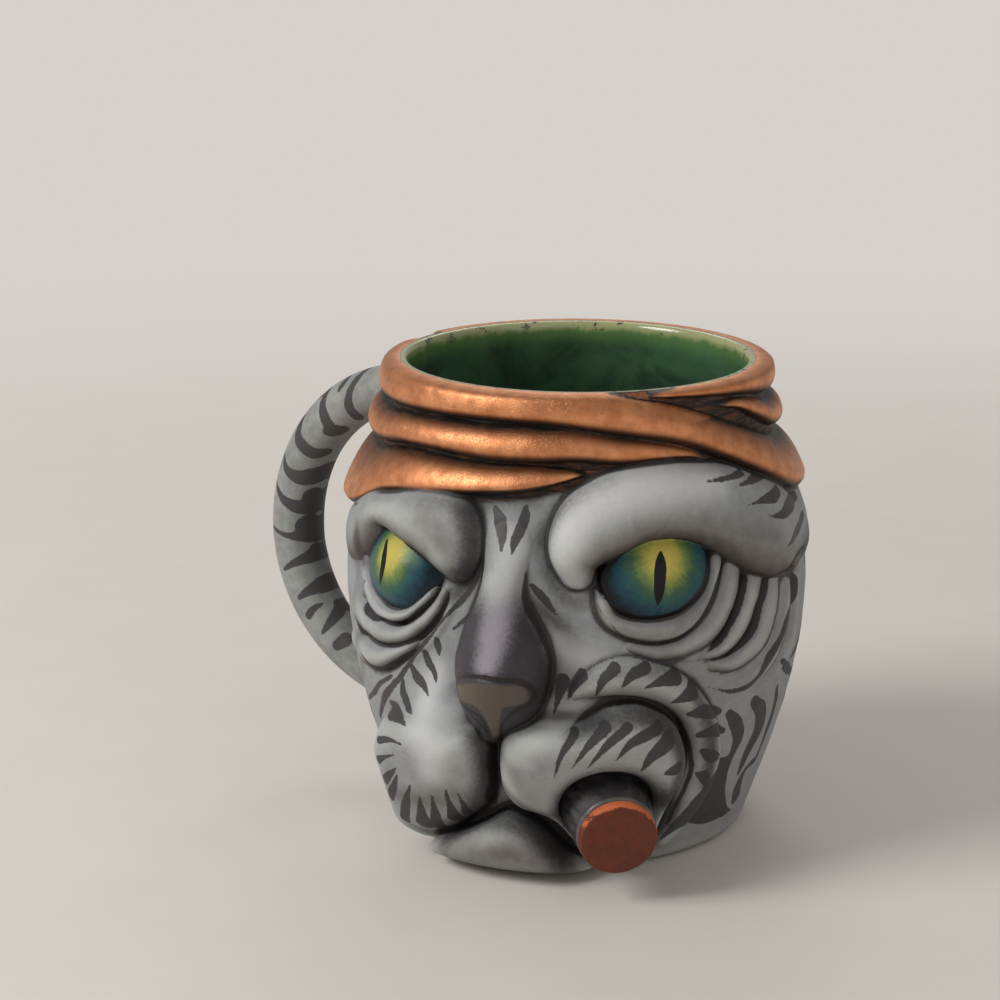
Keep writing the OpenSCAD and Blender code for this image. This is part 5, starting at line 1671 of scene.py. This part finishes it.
def alongCigar(profile, columns, rough, seed):
    # a profile of (radius, distance) turned round the cigar's line, with slight waves in it
    profile = np.array(profile)
    turn = np.radians(np.linspace(0, 360, columns, endpoint=False))
    wave = 1 + rough * softNoise((len(profile), columns), 14, seed) * np.sin(turn / 2)
    radius = profile[:, :1] * wave
    distance = np.broadcast_to(profile[:, 1:], radius.shape)
    local = np.stack([radius * np.cos(turn), radius * np.sin(turn), distance], -1)
    tilt, heading = np.radians(90 + cigar["tilt"]), np.radians(cigar["angle"] + cigar["turn"])
    c, s = np.cos(tilt), np.sin(tilt)
    lean = np.array([[1, 0, 0], [0, c, -s], [0, s, c]])
    c, s = np.cos(heading), np.sin(heading)
    swing = np.array([[c, -s, 0], [s, c, 0], [0, 0, 1]])
    root = onWall(np.array(cigar["angle"]), wallRadius(cigar["height"]), np.array(cigar["height"]))
    return local @ (swing @ lean).T + root, turn


def arc(radius, middleR, middleS, first, last, steps):
    # points of a circle on the profile, between two angles in degrees
    turn = np.radians(np.linspace(first, last, steps))
    return [(middleR + radius * np.cos(t), middleS + radius * np.sin(t)) for t in turn]


def wrapperPiece(end):
    # the barrel: a straight taper with a slow sine wave in it, and a rounded edge at its end
    edge, halfWall = cigar["edge"], cup["wall"] / 2
    slope = (cigar["endRadius"] - cigar["radius"]) / (end + halfWall)
    side = [(cigar["radius"] + 0.1 + slope * (s + halfWall) * 0.8 + 0.12 * np.sin(s * 0.9), s)
            for s in np.linspace(cigar["root"], end - edge, 30)]
    profile = [(2.0, cigar["root"]), *side, *arc(edge, side[-1][0] - edge, end - edge, 8, 90, 6), (3.0, end)]
    rings, _ = alongCigar(profile, cigar["columns"], 0.012, 31)
    loft, faces = closedLoft(rings)
    # where the painted highlight lies: round the barrel's rounded end
    worn = np.repeat([s - end + 0.7 for _, s in profile], cigar["columns"]) - 0.2
    piece = makePiece("cigarWrapper", loft, faces, worn=np.append(worn, [unpainted] * 2))
    settle(piece, wrapperClay, "cigar_wrapper")


def endPiece(end):
    # the cut end: a disc with a straight side, a rounded edge and a flat face in rings, chipped along its top
    top, discR, edge = cigar["length"], cigar["endRadius"] - 0.1, cigar["endEdge"]
    profile = [
        (discR - 1.4, end - 0.3), (discR - 0.25, end + 0.1),
        *[(discR, s) for s in np.linspace(end + 0.3, top - 0.8, 4)],
        *arc(edge, discR - edge, top - edge, 15, 90, 6),
        *[(r, top) for r in np.linspace(discR - 1.2, 0.8, 12)],
    ]
    rings, turn = alongCigar(profile, cigar["endColumns"], 0.02, 32)
    loft, faces = closedLoft(rings)
    radii = np.array([r for r, _ in profile])[:, None]
    upper = np.cos(turn - np.radians(75))[None]
    chip = (radii - discR + 0.4) * 1.5 + 1.2 * (upper - 0.8)
    piece = makePiece("cigarEnd", loft, faces, chip=np.append(chip.ravel(), [unpainted] * 2))
    settle(piece, emberClay, "cigar_end")


wrapperPiece(cigar["length"] - cigar["endThick"])
endPiece(cigar["length"] - cigar["endThick"])
print("cigar made")

# Studio: a pale floor, a soft key from the upper left, a wide fill, and the photograph's camera

studio = {
    "floor": 14.0,  # metres from the middle to each side
    "floorTones": [(229, 224, 218), (231, 226, 220)],
    "backdrop": (214, 209, 202),
    "near": 0.22,  # metres from the mug, from which the floor starts to show its plain colour
    "far": 0.75,
    "world": 0.42,
    "worldTone": (238, 235, 230),
}
lamps = {  # metres and watts
    "key": {"place": (-0.76, -0.58, 0.76), "aim": (0, 0, 0.05), "size": 0.55,
            "power": 7.8, "tint": (1.0, 0.98, 0.95)},
    "fill": {"place": (0.8, -0.6, 0.45), "aim": (0, 0, 0.05), "size": 0.8,
             "power": 0.8, "tint": (1.0, 0.92, 0.84)},
    "rim": {"place": (-0.2, 0.8, 0.7), "aim": (0, 0, 0.06), "size": 0.5,
            "power": 1.4, "tint": (1, 1, 1)},
}


def makeLamp(name, place, aim, size, power, tint):
    # a round area lamp, turned to look at its aim
    light = bpy.data.lights.new(name, "AREA")
    light.shape = "DISK"
    light.size = size
    light.energy = power
    light.color = tint
    holder = bpy.data.objects.new(name, light)
    holder.location = place
    holder.rotation_euler = (Vector(aim) - Vector(place)).to_track_quat("-Z", "Y").to_euler()
    bpy.context.scene.collection.objects.link(holder)


def makeFloor():
    # one large square; far from the mug it shows its own pale colour to the camera, however little light
    # falls there
    half = studio["floor"]
    corners = np.array([(-half, -half, 0), (half, -half, 0), (half, half, 0), (-half, half, 0)]) / mm
    floor = makePiece("floor", corners, [np.array([[0, 1, 2, 3]])])
    material, tree, shader = newMaterial("pale floor")
    shade = blendColours(tree, spread(tree, noise(tree, 40.0, 3.0), 0.3, 0.7), *studio["floorTones"])
    fill(tree, shader, {"Base Color": shade, "Roughness": 0.8})
    where = put(tree, "TexCoord").outputs["Object"]
    away = put(tree, "VectorMath", {0: where}, operation="LENGTH").outputs["Value"]
    path = put(tree, "LightPath").outputs
    seen = maths(tree, "MAXIMUM", path["Is Camera Ray"], path["Is Glossy Ray"])
    far = maths(tree, "MULTIPLY", spread(tree, away, studio["near"], studio["far"]), seen)
    plain = put(tree, "Emission", {"Color": tone(*studio["backdrop"]), "Strength": 1.0}).outputs[0]
    mixed = put(tree, "MixShader", {0: far, 1: shader.outputs[0], 2: plain}).outputs[0]
    tree.links.new(mixed, tree.nodes["Material Output"].inputs["Surface"])
    floor.data.materials.append(material)


def makeWorld():
    # an even light from all sides, while the camera sees the same plain colour beyond the floor as on it
    world = bpy.data.worlds.new("soft room")
    world.use_nodes = True
    tree = world.node_tree
    background = tree.nodes["Background"]
    fill(tree, background, {"Color": tone(*studio["worldTone"]), "Strength": studio["world"]})
    shown = put(tree, "Background", {"Color": tone(*studio["backdrop"]), "Strength": 1.0}).outputs[0]
    seen = put(tree, "LightPath").outputs["Is Camera Ray"]
    room = put(tree, "MixShader", {0: seen, 1: background.outputs[0], 2: shown}).outputs[0]
    tree.links.new(room, tree.nodes["World Output"].inputs["Surface"])
    bpy.context.scene.world = world


def makeCamera():
    # turned by its heading round the upright and tipped down by its pitch
    lens = bpy.data.cameras.new("camera")
    lens.lens = camera["lens"]
    lens.sensor_width = camera["sensor"]
    lens.clip_start = 0.01
    eye = bpy.data.objects.new("camera", lens)
    eye.location = camera["place"]
    eye.rotation_euler = (np.radians(90 - camera["pitch"]), 0, np.radians(camera["heading"]))
    bpy.context.scene.collection.objects.link(eye)
    bpy.context.scene.camera = eye
    bpy.context.scene.view_settings.view_transform = "Standard"


makeFloor()
for lampName, lampLook in lamps.items():
    makeLamp(lampName, **lampLook)
makeWorld()
makeCamera()
print("studio ready")
